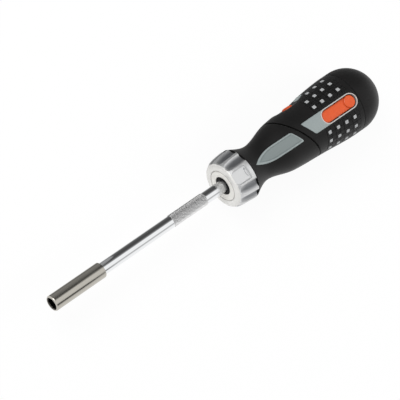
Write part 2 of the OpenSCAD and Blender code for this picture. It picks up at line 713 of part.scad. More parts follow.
// The lock pin's arc groove spans half a turn, and its end pockets are deeper
module lock_groove() {
    at_seam(-plate_gap - groove_d) intersection() {
        difference() {
            cylinder(h = groove_d + over, r = groove_r + lock_r + 2 * run_gap, $fn = round_fn);
            translate([0, 0, -over]) cylinder(h = groove_d + 3 * over, r = groove_r - lock_r - 2 * run_gap,
                $fn = round_fn);
        }
        translate([-2 * groove_r, -groove_r * 2, -over]) cube([2 * groove_r, 4 * groove_r,
            groove_d + 3 * over]);
    }
    for (y = [1, -1]) at_seam(-plate_gap - lock_hole_d) translate([0, y * groove_r, 0])
        cylinder(h = lock_hole_d + over, r = lock_r + 2 * run_gap, $fn = 48);
}
module front_swivel_plate() {
    color([0.35, 0.35, 0.37]) difference() {
        at_seam(-front_plate_t - plate_gap) cylinder(h = front_plate_t, r = swivel_r, $fn = round_fn);
        at_seam(-grip_l) cylinder(h = 2 * grip_l, r = bolt_r + run_gap, $fn = 64);
        lock_groove();
        plate_screw_holes(plate_screw_r + run_gap);
        at_plate_screws() translate([0, 0, -wall - 2 * plate_gap]) cylinder(h = 2 * wall, r = plate_head_r,
            $fn = 32);
    }
}
module rear_swivel_plate() {
    color([0.35, 0.35, 0.37]) difference() {
        at_seam(plate_gap) cylinder(h = rear_plate_t - plate_gap, r = swivel_r, $fn = round_fn);
        at_seam(-over) cylinder(h = 2 * grip_l, r = bolt_r + run_gap, $fn = 64);
        at_seam(-over) translate([0, groove_r, 0]) cylinder(h = rear_plate_t + 2 * over,
            r = lock_r + run_gap,
            $fn = 48);
    }
}
module pivot_bolt() {
    color([0.7, 0.7, 0.72]) difference() {
        union() {
            at_seam(bolt_head_at) cylinder(h = bolt_head_l, r = bolt_head_r, $fn = 64);
            at_seam(nut_at - edge) cylinder(h = bolt_head_at - nut_at + edge, r = bolt_r, $fn = 64);
        }
        at_seam(bolt_head_at + bolt_head_l / 2) cylinder(h = bolt_head_l, r = bolt_r, $fn = 6);
    }
}
module pivot_nut() {
    color([0.7, 0.7, 0.72]) difference() {
        at_seam(nut_at) cylinder(h = nut_l, r = nut_af / 2 / cos(30), $fn = 6);
        at_seam(nut_at - over) cylinder(h = nut_l + 2 * over, r = bolt_r + run_gap / 2, $fn = 64);
    }
}
module spring_washer() {
    color([0.5, 0.5, 0.52]) difference() {
        at_seam(nut_at + nut_l + plate_gap) cylinder(h = washer_t, r = washer_r, $fn = 64);
        at_seam(nut_at) cylinder(h = 2 * nut_l, r = bolt_r + run_gap, $fn = 64);
    }
}
module lock_line(s) {
    at_seam(s) translate([0, groove_r, 0]) children();
}
module lock_pin() {
    color([0.75, 0.75, 0.77]) union() {
        lock_line(lock_tip) cylinder(h = cross_at - lock_tip, r = lock_r, $fn = 48);
        lock_line(lock_collar_at) cylinder(h = lock_collar_l, r = lock_collar_r, $fn = 48);
        lock_line(cross_at) rotate([0, 90, 0]) cylinder(h = 2 * cross_reach, r = cross_r, center = true,
            $fn = 32);
    }
}
module lock_spring() {
    color([0.6, 0.6, 0.6]) lock_line(lock_spring_at) coil(lock_collar_r - seat_gap, lock_spring_l,
        spring_wire, spring_turns);
}
module lock_button() {
    color([0.92, 0.4, 0.2]) difference() {
        union() {
            translate([button_x - button_l / 2, 0, -button_w / 2]) button_cap(button_l, button_w);
            translate([cheek_front, cheek_low, -button_w / 2])
                cube([button_x + button_l / 2 - cheek_front, cheek_cap_y - cheek_low, button_w]);
        }
        translate([cheek_front - over, cheek_low - over, -cheek_in])
            cube([button_l * 4, cheek_cap_y - cheek_low - cap_web + over, 2 * cheek_in]);
        translate([cheek_front - over, cheek_low - over, -cheek_in])
            cube([button_x - button_l / 2 - cheek_front + over, button_top, 2 * cheek_in]);
        slanted_slot();
    }
}
// Cap of the button with a slightly domed top
module button_cap(l, w) {
    intersection() {
        translate([0, cheek_cap_y - over, 0]) cube([l, button_top - cheek_cap_y + over, w]);
        translate([l / 2, button_top - 2 * w, w / 2]) rotate([0, 90, 0]) cylinder(h = 2 * l, r = 2 * w,
            center = true,
            $fn = 128);
    }
}
// Slot in the cheeks that draws the cross pin back by as much as the button goes in
module slanted_slot() {
    r = cross_r + run_gap * 2;
    for (step = [0, 1]) translate([cross_x + step * lock_travel * cos(seam_tilt),
        cross_y + step * lock_travel * (1 + sin(seam_tilt)), 0])
        cylinder(h = 2 * button_w, r = r, center = true, $fn = 32);
    translate([cross_x, cross_y, -button_w]) linear_extrude(2 * button_w)
        rotate(atan2(1 + sin(seam_tilt), cos(seam_tilt))) translate([0, -r])
            square([lock_travel * norm([cos(seam_tilt), 1 + sin(seam_tilt)]), 2 * r]);
}

module scoop() {
    translate([scoop_at, scoop_y + scoop_r, 0]) sphere(scoop_r, $fn = round_fn);
}
// Room that the button and the cross pin need in the core
module button_room() {
    translate([cheek_front - pass_gap, cheek_low - lock_travel - pass_gap, -button_w / 2 - seat_gap])
        cube([button_x + button_l / 2 + 2 * pass_gap - cheek_front, button_top, button_w + 2 * seat_gap]);
}
module rear_core() {
    color([0.2, 0.2, 0.21]) difference() {
        handle_solid(seam_x - hip_r, handle_end, rubber_t + seat_gap);
        before_seam(seam_gap / 2);
        at_seam(-over) cylinder(h = rear_plate_t + over, r = swivel_r + seat_gap, $fn = round_fn);
        at_seam(-over) cylinder(h = grip_l, r = bolt_r + run_gap, $fn = 64);
        at_seam(bolt_head_at - seat_gap) cylinder(h = bolt_head_l + 2 * seat_gap,
            r = bolt_head_r + seat_gap,
            $fn = 64);
        lock_line(-over) cylinder(h = lock_collar_at + over, r = lock_r + run_gap, $fn = 48);
        lock_line(lock_collar_at - seat_gap) cylinder(h = lock_pocket_end - lock_collar_at + seat_gap,
            r = lock_collar_r + seat_gap, $fn = 48);
        button_room();
        ramp_room(seat_gap);
        rod(cavity_at, handle_end - lip_t, cavity_r);
        rod(cavity_at, handle_end + over, mouth_r);
        for (side = [1, -1]) scale([1, 1, side]) lever_room();
    }
}
module ramp_room(grow) {
    translate([ramp_at - grow, cavity_r + pass_gap - grow, -button_w / 2 - grow])
        cube([ramp_l + 2 * grow, hip_r, button_w + 2 * grow]);
}
module button_ramp() {
    color([0.6, 0.64, 0.64]) difference() {
        intersection() {
            ramp_room(0);
            handle_skin(ramp_at - over, ramp_at + ramp_l + over, rubber_t + 3 * wall, 0);
        }
        scoop();
    }
}
// Outline of the long grey panel seen from above: slanted front edge along the seam, round rear end
function panel_outline(grow) = let (w = bezel_w / 2 + grow)
    concat([[panel_front - grow + w * seam_lean + corner, -w],
        [panel_front - grow + (w - corner) * seam_lean, corner - w],
            [panel_front - grow - (w - corner) * seam_lean, w - corner],
                [panel_front - grow - w * seam_lean + corner, w]],
        [for (a = [90:-15:-90]) [window_end - window_r + w * cos(a), w * sin(a)]]);
module capsule(grow, h) {
    linear_extrude(h) slot_plan(window_at + window_r, window_end - window_r, window_r + grow);
}
module slot_plan(x0, x1, r) {
    for (x = [x0, x1]) translate([x, 0]) circle(r, $fn = 64);
    translate([x0, -r]) square([x1 - x0, 2 * r]);
}
module panel_block(grow) {
    linear_extrude(hip_r + over) polygon(panel_outline(grow));
}
module panel(side) {
    scale([1, 1, side]) difference() {
        intersection() {
            handle_skin(seam_x - hip_r / 2, handle_end, rubber_t - seat_gap / 2, panel_lift);
            panel_block(0);
        }
        capsule(0, hip_r + 2 * over);
        before_seam(seam_gap / 2 + wall);
    }
}
module panel_top() { color([0.6, 0.64, 0.64]) panel(1); }
module panel_bottom() { color([0.6, 0.64, 0.64]) panel(-1); }

// Rows of studs either side of each panel; the row by the button leaves its first place to the scoop
module at_studs(side) {
    for (a = stud_rows) for (hand = [1, -1]) for (i = [0:studs - 1])
        if (!(hand == 1 && a == stud_rows[2] && i == 0))
            rotate([-hand * side * a + (side < 0 ? 180 : 0), 0, 0]) translate([stud_first + i * stud_pitch,
                0, 0])
                children();
}
module stud_blocks(grow) {
    for (side = [1, -1]) at_studs(side) translate([-stud_w / 2 - grow, -stud_w / 2 - grow, neck_r])
        cube([stud_w + 2 * grow, stud_w + 2 * grow, hip_r]);
}
module grip_studs() {
    color([0.75, 0.76, 0.76]) intersection() {
        handle_skin(stud_first - stud_pitch, stud_first + studs * stud_pitch, rubber_t - seat_gap / 2,
            panel_lift / 2);
        stud_blocks(0);
    }
}
module rear_grip() {
    color([0.1, 0.1, 0.1]) difference() {
        handle_skin(seam_x - hip_r, handle_end, rubber_t, 0);
        rod(seam_x - 2 * hip_r, seam_x - hip_r + run_gap, 2 * hip_r);
        before_seam(seam_gap / 2);
        for (side = [1, -1]) scale([1, 1, side]) {
            panel_block(seat_gap);
        }
        stud_blocks(seat_gap);
        scoop();
        ramp_room(seat_gap);
        translate([button_x - button_l / 2 - pass_gap, 0, -button_w / 2 - pass_gap])
            cube([button_l + 2 * pass_gap, hip_r + over, button_w + 2 * pass_gap]);
    }
}
// Side view of the release lever: a bar that follows the grip's slope, with a boss at its pin and a tooth
// in front
module lever_side(grow = 0) {
    slope = tan(lever_slope);
    top = grow == 0 ? 0 : hip_r;
    front = window_at + lever_gap - grow;
    rear = window_end - lever_gap + grow;
    z0 = lever_front_z;
    tooth_z = guide_r + stop_gap - (grow == 0 ? 0 : 2 * over);
    polygon([[front, z0 + top], [front, tooth_z], [front + lever_tooth_l + grow, tooth_z],
        [front + lever_tooth_l + 2 * grow, z0 - lever_t - grow],
        [lever_pin_at - lever_boss - grow,
            z0 + (lever_pin_at - lever_boss - window_at) * slope - lever_t - grow],
        [lever_pin_at - lever_boss / 2 - grow, lever_pin_z - lever_t - grow / 2],
        [lever_pin_at + lever_boss / 2 + grow, lever_pin_z - lever_t - grow / 2],
        [lever_pin_at + lever_boss + grow,
            z0 + (lever_pin_at + lever_boss - window_at) * slope - lever_t - grow],
        [rear, lever_rear_z - lever_t - grow], [rear, lever_rear_z + top]]);
}
module lever_profile(grow = 0) {
    translate([0, window_w, 0]) rotate([90, 0, 0]) linear_extrude(2 * window_w) lever_side(grow);
}
// Recess for the lever in the core, with room for its swing
module lever_room() {
    intersection() {
        capsule(0, 2 * hip_r);
        lever_profile(window_l / 2 * sin(lever_swing) + pass_gap);
    }
    translate([lever_pin_at, 0, lever_pin_z]) rotate([90, 0, 0])
        cylinder(h = bezel_w, r = lever_pin_r + run_gap, center = true, $fn = 32);
}
module release_lever(side) {
    scale([1, 1, side]) difference() {
        union() {
            intersection() {
                capsule(-lever_gap, 2 * hip_r);
                lever_profile();
            }
            translate([nub_at, 0, lever_rear_z - (window_end - nub_at) * tan(lever_slope)])
                rotate([0, -lever_slope, 0]) rotate_extrude($fn = 64)
                    polygon([[0, -wall / 2], [nub_d / 2, -wall / 2], [nub_d / 2, nub_h / 2],
                        [nub_d / 2 - nub_h / 2, nub_h], [0, nub_h * 0.8]]);
        }
        translate([lever_pin_at, 0, lever_pin_z]) rotate([90, 0, 0])
            cylinder(h = 2 * window_w, r = lever_pin_r + run_gap, center = true, $fn = 48);
    }
}
module release_lever_top() { color([0.92, 0.4, 0.2]) release_lever(1); }
module release_lever_bottom() { color([0.92, 0.4, 0.2]) release_lever(-1); }
module lever_pin(side) {
    scale([1, 1, side]) translate([lever_pin_at, 0, lever_pin_z]) rotate([90, 0, 0])
        cylinder(h = bezel_w - 2 * seat_gap, r = lever_pin_r, center = true, $fn = 48);
}
module lever_pin_top() { color([0.7, 0.7, 0.7]) lever_pin(1); }
module lever_pin_bottom() { color([0.7, 0.7, 0.7]) lever_pin(-1); }
// Bowed leaf spring under the rear end of the lever
module lever_spring(side) {
    x1 = window_end - 2 * window_r / 3;
    x0 = x1 - leaf_l;
    room = window_l / 2 * sin(lever_swing) + pass_gap;
    floor0 = lever_front_z + (x0 - window_at) * tan(lever_slope) - lever_t - room;
    floor1 = lever_front_z + (x1 - window_at) * tan(lever_slope) - lever_t - room;
    rise = room - leaf_t - 2 * seat_gap;
    scale([1, 1, side]) translate([0, leaf_w / 2, 0]) rotate([90, 0, 0]) linear_extrude(leaf_w)
        polygon(concat(
            [for (i = [0:12]) let (t = i / 12) [x0 + leaf_l * t,
                floor0 + (floor1 - floor0) * t + rise * sin(180 * t) + run_gap]],
            [for (i = [12:-1:0]) let (t = i / 12) [x0 + leaf_l * t,
                floor0 + (floor1 - floor0) * t + rise * sin(180 * t) + leaf_t + run_gap]]));
}
module lever_spring_top() { color([0.6, 0.6, 0.6]) lever_spring(1); }
module lever_spring_bottom() { color([0.6, 0.6, 0.6]) lever_spring(-1); }

module at_bits() {
    for (i = [0:bits - 1]) rotate([30 + 360 / bits * i, 0, 0]) translate([0, bit_circle_r, 0]) children();
}
module bit_carrier() {
    color([0.16, 0.16, 0.17]) difference() {
        union() {
            rod(guide_at, guide_at + guide_t, guide_r);
            rod(guide_at, carrier_end, carrier_r);
        }
        at_bits() translate([bits_at, 0, 0]) {
            translate([0, -bit_r - seat_gap, -bit_slot_w / 2])
                cube([handle_end - bits_at - pass_gap / 2, 2 * carrier_r, bit_slot_w]);
        }
        rod(carrier_end - 4 * wall, carrier_end + over, cap_screw_r + run_gap, 48);
    }
}
// Spare bit: hexagonal shank, round neck and a tip of its own kind
module spare_bit(i, kind) {
    shank = bit_l * 0.6;
    tip_r = bit_af * tip_shares[i];
    rotate([30 + 360 / bits * i, 0, 0]) translate([bits_at + run_gap, bit_circle_r, 0]) {
        translate([bit_l - shank, 0, 0]) rotate([0, 90, 0]) rotate([0, 0, 30])
            cylinder(h = shank - 2 * run_gap - over / 4, r = bit_r - run_gap / 2, $fn = 6);
        translate([bit_l * 0.3, 0, 0]) rotate([0, 90, 0]) cylinder(h = bit_l * 0.1 + run_gap, r = tip_r,
            $fn = 48);
        if (kind == "slot") {
            difference() {
                rotate([0, 90, 0]) cylinder(h = bit_l * 0.3, r = tip_r, $fn = 48);
                for (s = [1, -1]) translate([-over, -tip_r * 2, s * (tip_r + tip_r * 0.2) - tip_r])
                    rotate([0, -s * 6, 0]) cube([bit_l * 0.28, 4 * tip_r, 2 * tip_r]);
            }
        }
        if (kind == "cross") {
            difference() {
                rotate([0, 90, 0]) cylinder(h = bit_l * 0.3, r1 = tip_r * 0.35, r2 = tip_r, $fn = 48);
                for (q = [0:3]) rotate([45 + 90 * q, 0, 0]) translate([-over, tip_r * 0.2, tip_r * 0.2])
                    cube([bit_l * 0.24, 2 * tip_r, 2 * tip_r]);
            }
        }
        if (kind == "star") {
            difference() {
                rotate([0, 90, 0]) cylinder(h = bit_l * 0.3, r = tip_r, $fn = 48);
                for (q = [0:5]) rotate([60 * q, 0, 0]) translate([-over, tip_r * 1.15, 0]) rotate([0, 90,
                    0])
                    cylinder(h = bit_l * 0.24, r = tip_r * 0.4, $fn = 24);
            }
        }
    }
}
module bit_slot_small() { color([0.6, 0.6, 0.62]) spare_bit(0, "slot"); }
module bit_cross_small() { color([0.6, 0.6, 0.62]) spare_bit(1, "cross"); }
module bit_star_small() { color([0.6, 0.6, 0.62]) spare_bit(2, "star"); }
module bit_slot_large() { color([0.6, 0.6, 0.62]) spare_bit(3, "slot"); }
module bit_cross_large() { color([0.6, 0.6, 0.62]) spare_bit(4, "cross"); }
module bit_star_large() { color([0.6, 0.6, 0.62]) spare_bit(5, "star"); }

// Dome profile of the cap, drawn in by inset
function dome(inset) = [for (a = [0:7.5:90]) [(hip_r - inset) * cos(a),
    dome_at + (hip_r - inset) * sin(a)]];
module cap_core() {
    color([0.2, 0.2, 0.21]) difference() {
        spin() polygon(concat([[0, cap_at], [hip_r - cap_shell - seat_gap, cap_at]],
            dome(cap_shell + seat_gap)));
        rod(cap_at - over, cap_at + 2 * cap_shell, cap_screw_r + run_gap, 48);
        rod(cap_at + cap_shell, cap_at + 3 * cap_shell, 2 * cap_screw_r, 48);
        rod(cap_at + 3 * cap_shell - over, dome_at + hip_r / 2, hip_r / 2);
    }
}
module cap_grip() {
    color([0.1, 0.1, 0.1]) difference() {
        spin() polygon(concat([[0, cap_at], [hip_r, cap_at]], dome(0)));
        spin() polygon(concat([[0, cap_at - over], [hip_r - cap_shell, cap_at - over]], dome(cap_shell)));
    }
}
module cap_screw() {
    color([0.3, 0.3, 0.3]) difference() {
        union() {
            rod(carrier_end - 3 * wall, cap_at + cap_shell, cap_screw_r, 48);
            rod(cap_at + cap_shell, cap_at + 2 * cap_shell, 2 * cap_screw_r - seat_gap, 48);
        }
        hex_bar(cap_at + 1.5 * cap_shell, cap_at + 3 * cap_shell, 1.2 * cap_screw_r);
    }
}

bit_socket();
socket_magnet();
blade_shaft();
ratchet_gear();
thrust_washer();
shaft_clip();
front_plate();
shaft_bush();
ratchet_cover();
cover_screws();
ratchet_housing();
rear_bush();
housing_pins();
detent_ball();
detent_spring();
selector_collar();
pawl_left();
pawl_right();
pawl_pin_left();
pawl_pin_right();
pawl_spring_left();
pawl_spring_right();
front_core();
front_grip();
front_inlay_top();
front_inlay_bottom();
front_swivel_plate();
plate_screws();
rear_swivel_plate();
pivot_bolt();
pivot_nut();
spring_washer();
lock_pin();
lock_spring();
lock_button();
button_ramp();
rear_core();
rear_grip();
grip_studs();
panel_top();
panel_bottom();
release_lever_top();
release_lever_bottom();
lever_pin_top();
lever_pin_bottom();
lever_spring_top();
lever_spring_bottom();
bit_carrier();
cap_core();
cap_grip();
cap_screw();
bit_slot_small();
bit_slot_large();
bit_cross_small();
bit_cross_large();
bit_star_small();
bit_star_large();
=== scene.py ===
import json
from itertools import product
from math import atan2, ceil, cos, hypot, pi, radians, sin, sqrt, tan
import bmesh
import bpy
from mathutils import Matrix, Vector


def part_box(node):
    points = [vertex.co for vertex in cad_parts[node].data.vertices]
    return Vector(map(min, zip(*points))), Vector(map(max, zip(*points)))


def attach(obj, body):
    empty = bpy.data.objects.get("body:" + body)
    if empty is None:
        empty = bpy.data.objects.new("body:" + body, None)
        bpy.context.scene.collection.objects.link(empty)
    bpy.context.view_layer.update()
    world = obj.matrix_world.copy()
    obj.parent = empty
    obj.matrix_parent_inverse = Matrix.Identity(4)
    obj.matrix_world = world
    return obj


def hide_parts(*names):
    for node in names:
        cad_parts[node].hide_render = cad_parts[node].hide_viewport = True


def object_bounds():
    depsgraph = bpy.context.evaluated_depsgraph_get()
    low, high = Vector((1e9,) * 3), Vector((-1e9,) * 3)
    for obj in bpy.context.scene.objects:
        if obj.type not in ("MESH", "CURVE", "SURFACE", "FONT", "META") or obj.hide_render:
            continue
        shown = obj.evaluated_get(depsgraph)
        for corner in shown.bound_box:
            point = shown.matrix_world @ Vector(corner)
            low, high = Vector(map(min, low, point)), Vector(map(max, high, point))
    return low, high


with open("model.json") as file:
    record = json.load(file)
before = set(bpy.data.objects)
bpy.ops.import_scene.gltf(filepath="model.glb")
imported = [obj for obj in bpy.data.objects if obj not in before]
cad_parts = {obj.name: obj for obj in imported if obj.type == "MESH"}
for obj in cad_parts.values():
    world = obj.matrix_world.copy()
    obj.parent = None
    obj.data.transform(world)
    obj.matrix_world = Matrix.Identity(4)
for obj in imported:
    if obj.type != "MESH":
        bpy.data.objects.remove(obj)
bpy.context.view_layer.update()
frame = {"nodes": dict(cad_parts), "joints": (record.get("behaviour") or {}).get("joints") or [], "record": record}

# The camera: a long lens above the tool's tip and a little to its left, rolled so that the tool rises to the right.
# Sizes in this script are millimetres, and the meshes are written in metres.
MM = 0.001
LENS = 216
SEES_TO = 10
AIM_AT = (-535.3, 83.9, 1188.8)
AIM_FORWARD = Vector((0.4772, -0.0613, -0.8767))
AIM_UP = Vector((0.4989, 0.8401, 0.2128))
bpy.context.scene.view_settings.view_transform = "Standard"
camera = bpy.data.objects.new("camera", bpy.data.cameras.new("camera"))
bpy.context.scene.collection.objects.link(camera)
bpy.context.scene.camera = camera
camera.data.lens = LENS
camera.data.clip_end = SEES_TO
back = -AIM_FORWARD.normalized()
right = AIM_UP.cross(back).normalized()
up = back.cross(right)
aim = Matrix((right, up, back)).transposed().to_4x4()
camera.matrix_world = Matrix.Translation(Vector(AIM_AT) * MM) @ aim

# The floor and the space round it: a white sweep that the camera and every mirror sees as plain white. The floor lets
# the tool's soft shadow through.
FLOOR_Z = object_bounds()[0][2]
FLOOR_SIZE = 6
SHADOW_SHARE = 0.07


class Wire:
    """One shader value; an expression on wires adds the Math nodes that it needs."""

    def __init__(self, finish, socket):
        self.finish, self.socket = finish, socket

    def __add__(self, other):
        return self.finish.maths("ADD", self, other)

    def __sub__(self, other):
        return self.finish.maths("SUBTRACT", self, other)

    def __rsub__(self, other):
        return self.finish.maths("SUBTRACT", other, self)

    def __mul__(self, other):
        return self.finish.maths("MULTIPLY", self, other)

    def __truediv__(self, other):
        return self.finish.maths("DIVIDE", self, other)

    def __pow__(self, other):
        return self.finish.maths("POWER", self, other)

    def __gt__(self, other):
        return self.finish.maths("GREATER_THAN", self, other)

    def __lt__(self, other):
        return self.finish.maths("LESS_THAN", self, other)

    __radd__ = __add__
    __rmul__ = __mul__


class Finish:
    """A material with its nodes; plain values sit on the shader's own sockets."""

    def __init__(self, name, color=None, **sockets):
        self.material = bpy.data.materials.new(name)
        self.material.use_nodes = True
        self.tree = self.material.node_tree
        self.shader = self.tree.nodes["Principled BSDF"]
        if color:
            self.set("Base Color", (*color, 1))
            self.material.diffuse_color = (*color, 1)
        for socket, value in sockets.items():
            self.set(socket.replace("_", " "), value)

    def node(self, kind, settings=None, inputs=None, output=0):
        made = self.tree.nodes.new("ShaderNode" + kind)
        for key, value in (settings or {}).items():
            if key == "stops":
                ramp = made.color_ramp
                for stop, (place, color) in enumerate(value):
                    point = ramp.elements[stop] if stop < 2 else ramp.elements.new(place)
                    point.position, point.color = place, (*color, 1)
            else:
                setattr(made, key, value)
        for key, value in (inputs or {}).items():
            self.join(made.inputs[key], value)
        return Wire(self, made.outputs[output])

    def join(self, socket, value):
        if isinstance(value, Wire):
            self.tree.links.new(value.socket, socket)
        else:
            socket.default_value = value

    def set(self, socket, value):
        self.join(self.shader.inputs[socket], value)

    def maths(self, operation, *values, clamp=False):
        return self.node("Math", {"operation": operation, "use_clamp": clamp}, dict(enumerate(values)))

    def place(self, scale=(1, 1, 1)):
        """Where a point lies on the piece, in millimetres times scale."""
        where = self.node("TexCoord", output="Object")
        return self.node("Mapping", None, {"Vector": where, "Scale": [s / MM for s in scale]})

    def axes(self):
        """The three coordinates of a point on the piece, in millimetres."""
        where = self.place()
        return [self.node("SeparateXYZ", None, {"Vector": where}, output=axis) for axis in range(3)]

    def wave(self, value):
        """0 at whole numbers and 1 half-way between them."""
        return self.maths("PINGPONG", value, 0.5) * 2

    def noise(self, scale=1, detail=3, stretch=(1, 1, 1), roughness=0.5):
        return self.node("TexNoise", None, {"Vector": self.place(stretch), "Scale": scale, "Detail": detail,
                                            "Roughness": roughness})

    def mix(self, amount, first, second):
        mixed = self.tree.nodes.new("ShaderNodeMix")
        mixed.data_type = "RGBA"
        self.join(mixed.inputs["Factor"], amount)
        self.join(mixed.inputs[6], (*first, 1) if isinstance(first, tuple) else first)
        self.join(mixed.inputs[7], (*second, 1) if isinstance(second, tuple) else second)
        return Wire(self, mixed.outputs[2])

    def bump(self, height, depth_mm, strength=1.0):
        self.set("Normal", self.node("Bump", None, {"Height": height, "Distance": depth_mm * MM,
                                                    "Strength": strength}))


def white_to_lens(finish):
    """1 for the rays that the camera, a mirror or a clear piece sends out, 0 for the light itself."""
    seen = [finish.node("LightPath", output=ray) for ray in
            ("Is Camera Ray", "Is Glossy Ray", "Is Transmission Ray")]
    return finish.maths("ADD", seen[0] + seen[1], seen[2], clamp=True)


floor_mesh = bpy.data.meshes.new("floor")
half = FLOOR_SIZE / 2
floor_mesh.from_pydata([(sx * half, sy * half, FLOOR_Z) for sx, sy in ((-1, -1), (1, -1), (1, 1), (-1, 1))], [],
                       [(0, 1, 2, 3)])
floor = bpy.data.objects.new("floor", floor_mesh)
bpy.context.scene.collection.objects.link(floor)
paper = Finish("white_paper", (0.9, 0.9, 0.9), Roughness=0.9)
paper.set("Specular IOR Level", 0.0)
glow = paper.node("Emission", None, {"Color": (1, 1, 1, 1), "Strength": 1.0})
veil = paper.node("MixShader", None, {0: white_to_lens(paper) * (1 - SHADOW_SHARE),
                                      1: Wire(paper, paper.shader.outputs[0]), 2: glow})
paper.join(paper.tree.nodes["Material Output"].inputs["Surface"], veil)
floor_mesh.materials.append(paper.material)

# The room's light: even and white all round, like a light tent, with one softbox over the tool's +Y side and a weaker
# one over its -Y side, which the metal doesn't mirror. Their places and sizes are metres.
ROOM_LIGHT = 0.55
MIDDLE = (0.12, 0, 0)
world = bpy.data.worlds.new("studio")
bpy.context.scene.world = world
world.use_nodes = True


class Room(Finish):
    """The world's nodes, used as any finish."""

    def __init__(self, world):
        self.tree = world.node_tree
        self.shader = self.tree.nodes["Background"]


room = Room(world)
room.set("Color", (1, 1, 1, 1))
room.set("Strength", ROOM_LIGHT + white_to_lens(room) * (1 - ROOM_LIGHT))


def softbox(name, at, size, watts):
    """A square lamp that looks at the middle of the tool."""
    lamp = bpy.data.lights.new(name, "AREA")
    lamp.shape, lamp.size, lamp.size_y, lamp.energy = "RECTANGLE", size, size, watts
    made = bpy.data.objects.new(name, lamp)
    bpy.context.scene.collection.objects.link(made)
    made.location = at
    made.rotation_euler = (Vector(MIDDLE) - Vector(at)).to_track_quat("-Z", "Y").to_euler()
    return made


softbox("key_light", (-0.35, 0.75, 0.9), 0.7, 9)
softbox("side_light", (0.7, -0.5, 0.6), 0.5, 3).visible_glossy = False

# Cards that only mirrors see, as a photographer sets them to draw dark lines along metal. The dark ones stand along
# the tool's +Y side and lie on the floor there, and lighter ones hang over its -Y side. The sleeve and the shaft
# mirror different lengths of them. A card's stops are [place across it, glow], and its sizes are metres.
CARD_Y, CARD_TOP = 0.045, 0.19
CARD_FROM, CARD_SPLIT, CARD_TO = 0.01, 0.066, 0.8
LOW_Y, LOW_LIFT = 0.012, 0.0003
STRIP_Y, STRIP_LOW, STRIP_TOP = -0.1, 0.03, 0.14
STRIP_FROM, STRIP_SPLIT = -0.05, 0.098
SLEEVE_GLOWS = [(0, 0.34), (1, 0.62), (0.12, 0.26), (0.3, 0.08), (0.48, 0.12)]
SHAFT_GLOWS = [(0, 0.1), (1, 0.95), (0.07, 0.07), (0.24, 0.08), (0.42, 0.2), (0.8, 0.6)]
LOW_GLOWS = [(0, 0.6), (1, 0.12), (0.4, 0.3)]


def card(name, corners, axis, span, glows):
    """A card whose glow follows its stops over a span in metres along one axis."""
    mesh = bpy.data.meshes.new(name)
    mesh.from_pydata(corners, [], [(0, 1, 2, 3)])
    made = bpy.data.objects.new(name, mesh)
    bpy.context.scene.collection.objects.link(made)
    dark = Finish(name, (0, 0, 0), Roughness=1.0, Specular_IOR_Level=0.0, Emission_Strength=1.0)
    low, high = span[0] / MM, span[1] / MM
    share = (dark.axes()[axis] - low) / (high - low)
    stops = [(place, (glow,) * 3) for place, glow in glows]
    dark.set("Emission Color", dark.node("ValToRGB", {"stops": stops}, {"Fac": share}))
    mesh.materials.append(dark.material)
    made.visible_camera = made.visible_shadow = made.visible_diffuse = made.visible_transmission = False


def upright(x0, x1, y, low, top):
    """Corners of a card that stands along the tool."""
    return [(x0, y, low), (x1, y, low), (x1, y, top), (x0, y, top)]


card("sleeve_card", upright(CARD_FROM, CARD_SPLIT, CARD_Y, FLOOR_Z, CARD_TOP), 2, (0, CARD_TOP), SLEEVE_GLOWS)
card("shaft_card", upright(CARD_SPLIT, CARD_TO, CARD_Y, FLOOR_Z, CARD_TOP), 2, (0, CARD_TOP), SHAFT_GLOWS)
low_z = FLOOR_Z + LOW_LIFT
card("floor_card", [(CARD_FROM, LOW_Y, low_z), (CARD_TO, LOW_Y, low_z), (CARD_TO, CARD_Y, low_z),
                    (CARD_FROM, CARD_Y, low_z)], 1, (LOW_Y, CARD_Y), LOW_GLOWS)
for name, x0, x1, glow in (("sleeve_strip", STRIP_FROM, STRIP_SPLIT, 0.05),
                           ("shaft_strip", STRIP_SPLIT, CARD_TO, 0.48)):
    card(name, upright(x0, x1, STRIP_Y, STRIP_LOW, STRIP_TOP), 2, (STRIP_LOW, STRIP_TOP),
         [(0, 0.95), (1, 0.95), (0.35, glow), (0.55, glow)])

# Bit socket: a turned steel sleeve with satin nickel plating, pressed over the shaft's tip. Its mouth is a broached
# hexagon that takes quarter-inch bits.
SLEEVE_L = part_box("bit_socket")[1].x / MM
SLEEVE_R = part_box("bit_socket")[1].y / MM
SLEEVE_EDGE, SLEEVE_SOFT = 0.45, 0.25
MOUTH_R = 4.2
MOUTH_LEAD = [(0.7, 0.0), (0.25, 0.12), (0.0, 0.35)]
HEX_FLAT, HEX_SOFT, HEX_DEPTH = 6.45 / 2, 0.12, 13
SEAT_AT, SEAT_R = 17.4, 3.7
BORE_R = 3.95
ON_AXIS = 0.01
ROUND = 144


def tidy_mesh(name, verts, faces, sharp=40):
    """A mesh whose doubled points are joined and whose faces look outwards, smooth but for its sharp edges."""
    mesh = bpy.data.meshes.new(name)
    mesh.from_pydata(verts, [], faces)
    form = bmesh.new()
    form.from_mesh(mesh)
    bmesh.ops.remove_doubles(form, verts=form.verts, dist=1e-6)
    bmesh.ops.dissolve_degenerate(form, edges=form.edges, dist=1e-7)
    bmesh.ops.recalc_face_normals(form, faces=form.faces)
    form.to_mesh(mesh)
    form.free()
    mesh.shade_smooth()
    mesh.set_sharp_from_angle(angle=radians(sharp))
    return mesh


def strips(start, count, rows):
    """Faces between rows of count points that follow one another in a mesh, from its point start on."""
    return [(a + k, a + (k + 1) % count, a + count + (k + 1) % count, a + count + k)
            for a in range(start, start + (rows - 1) * count, count) for k in range(count)]


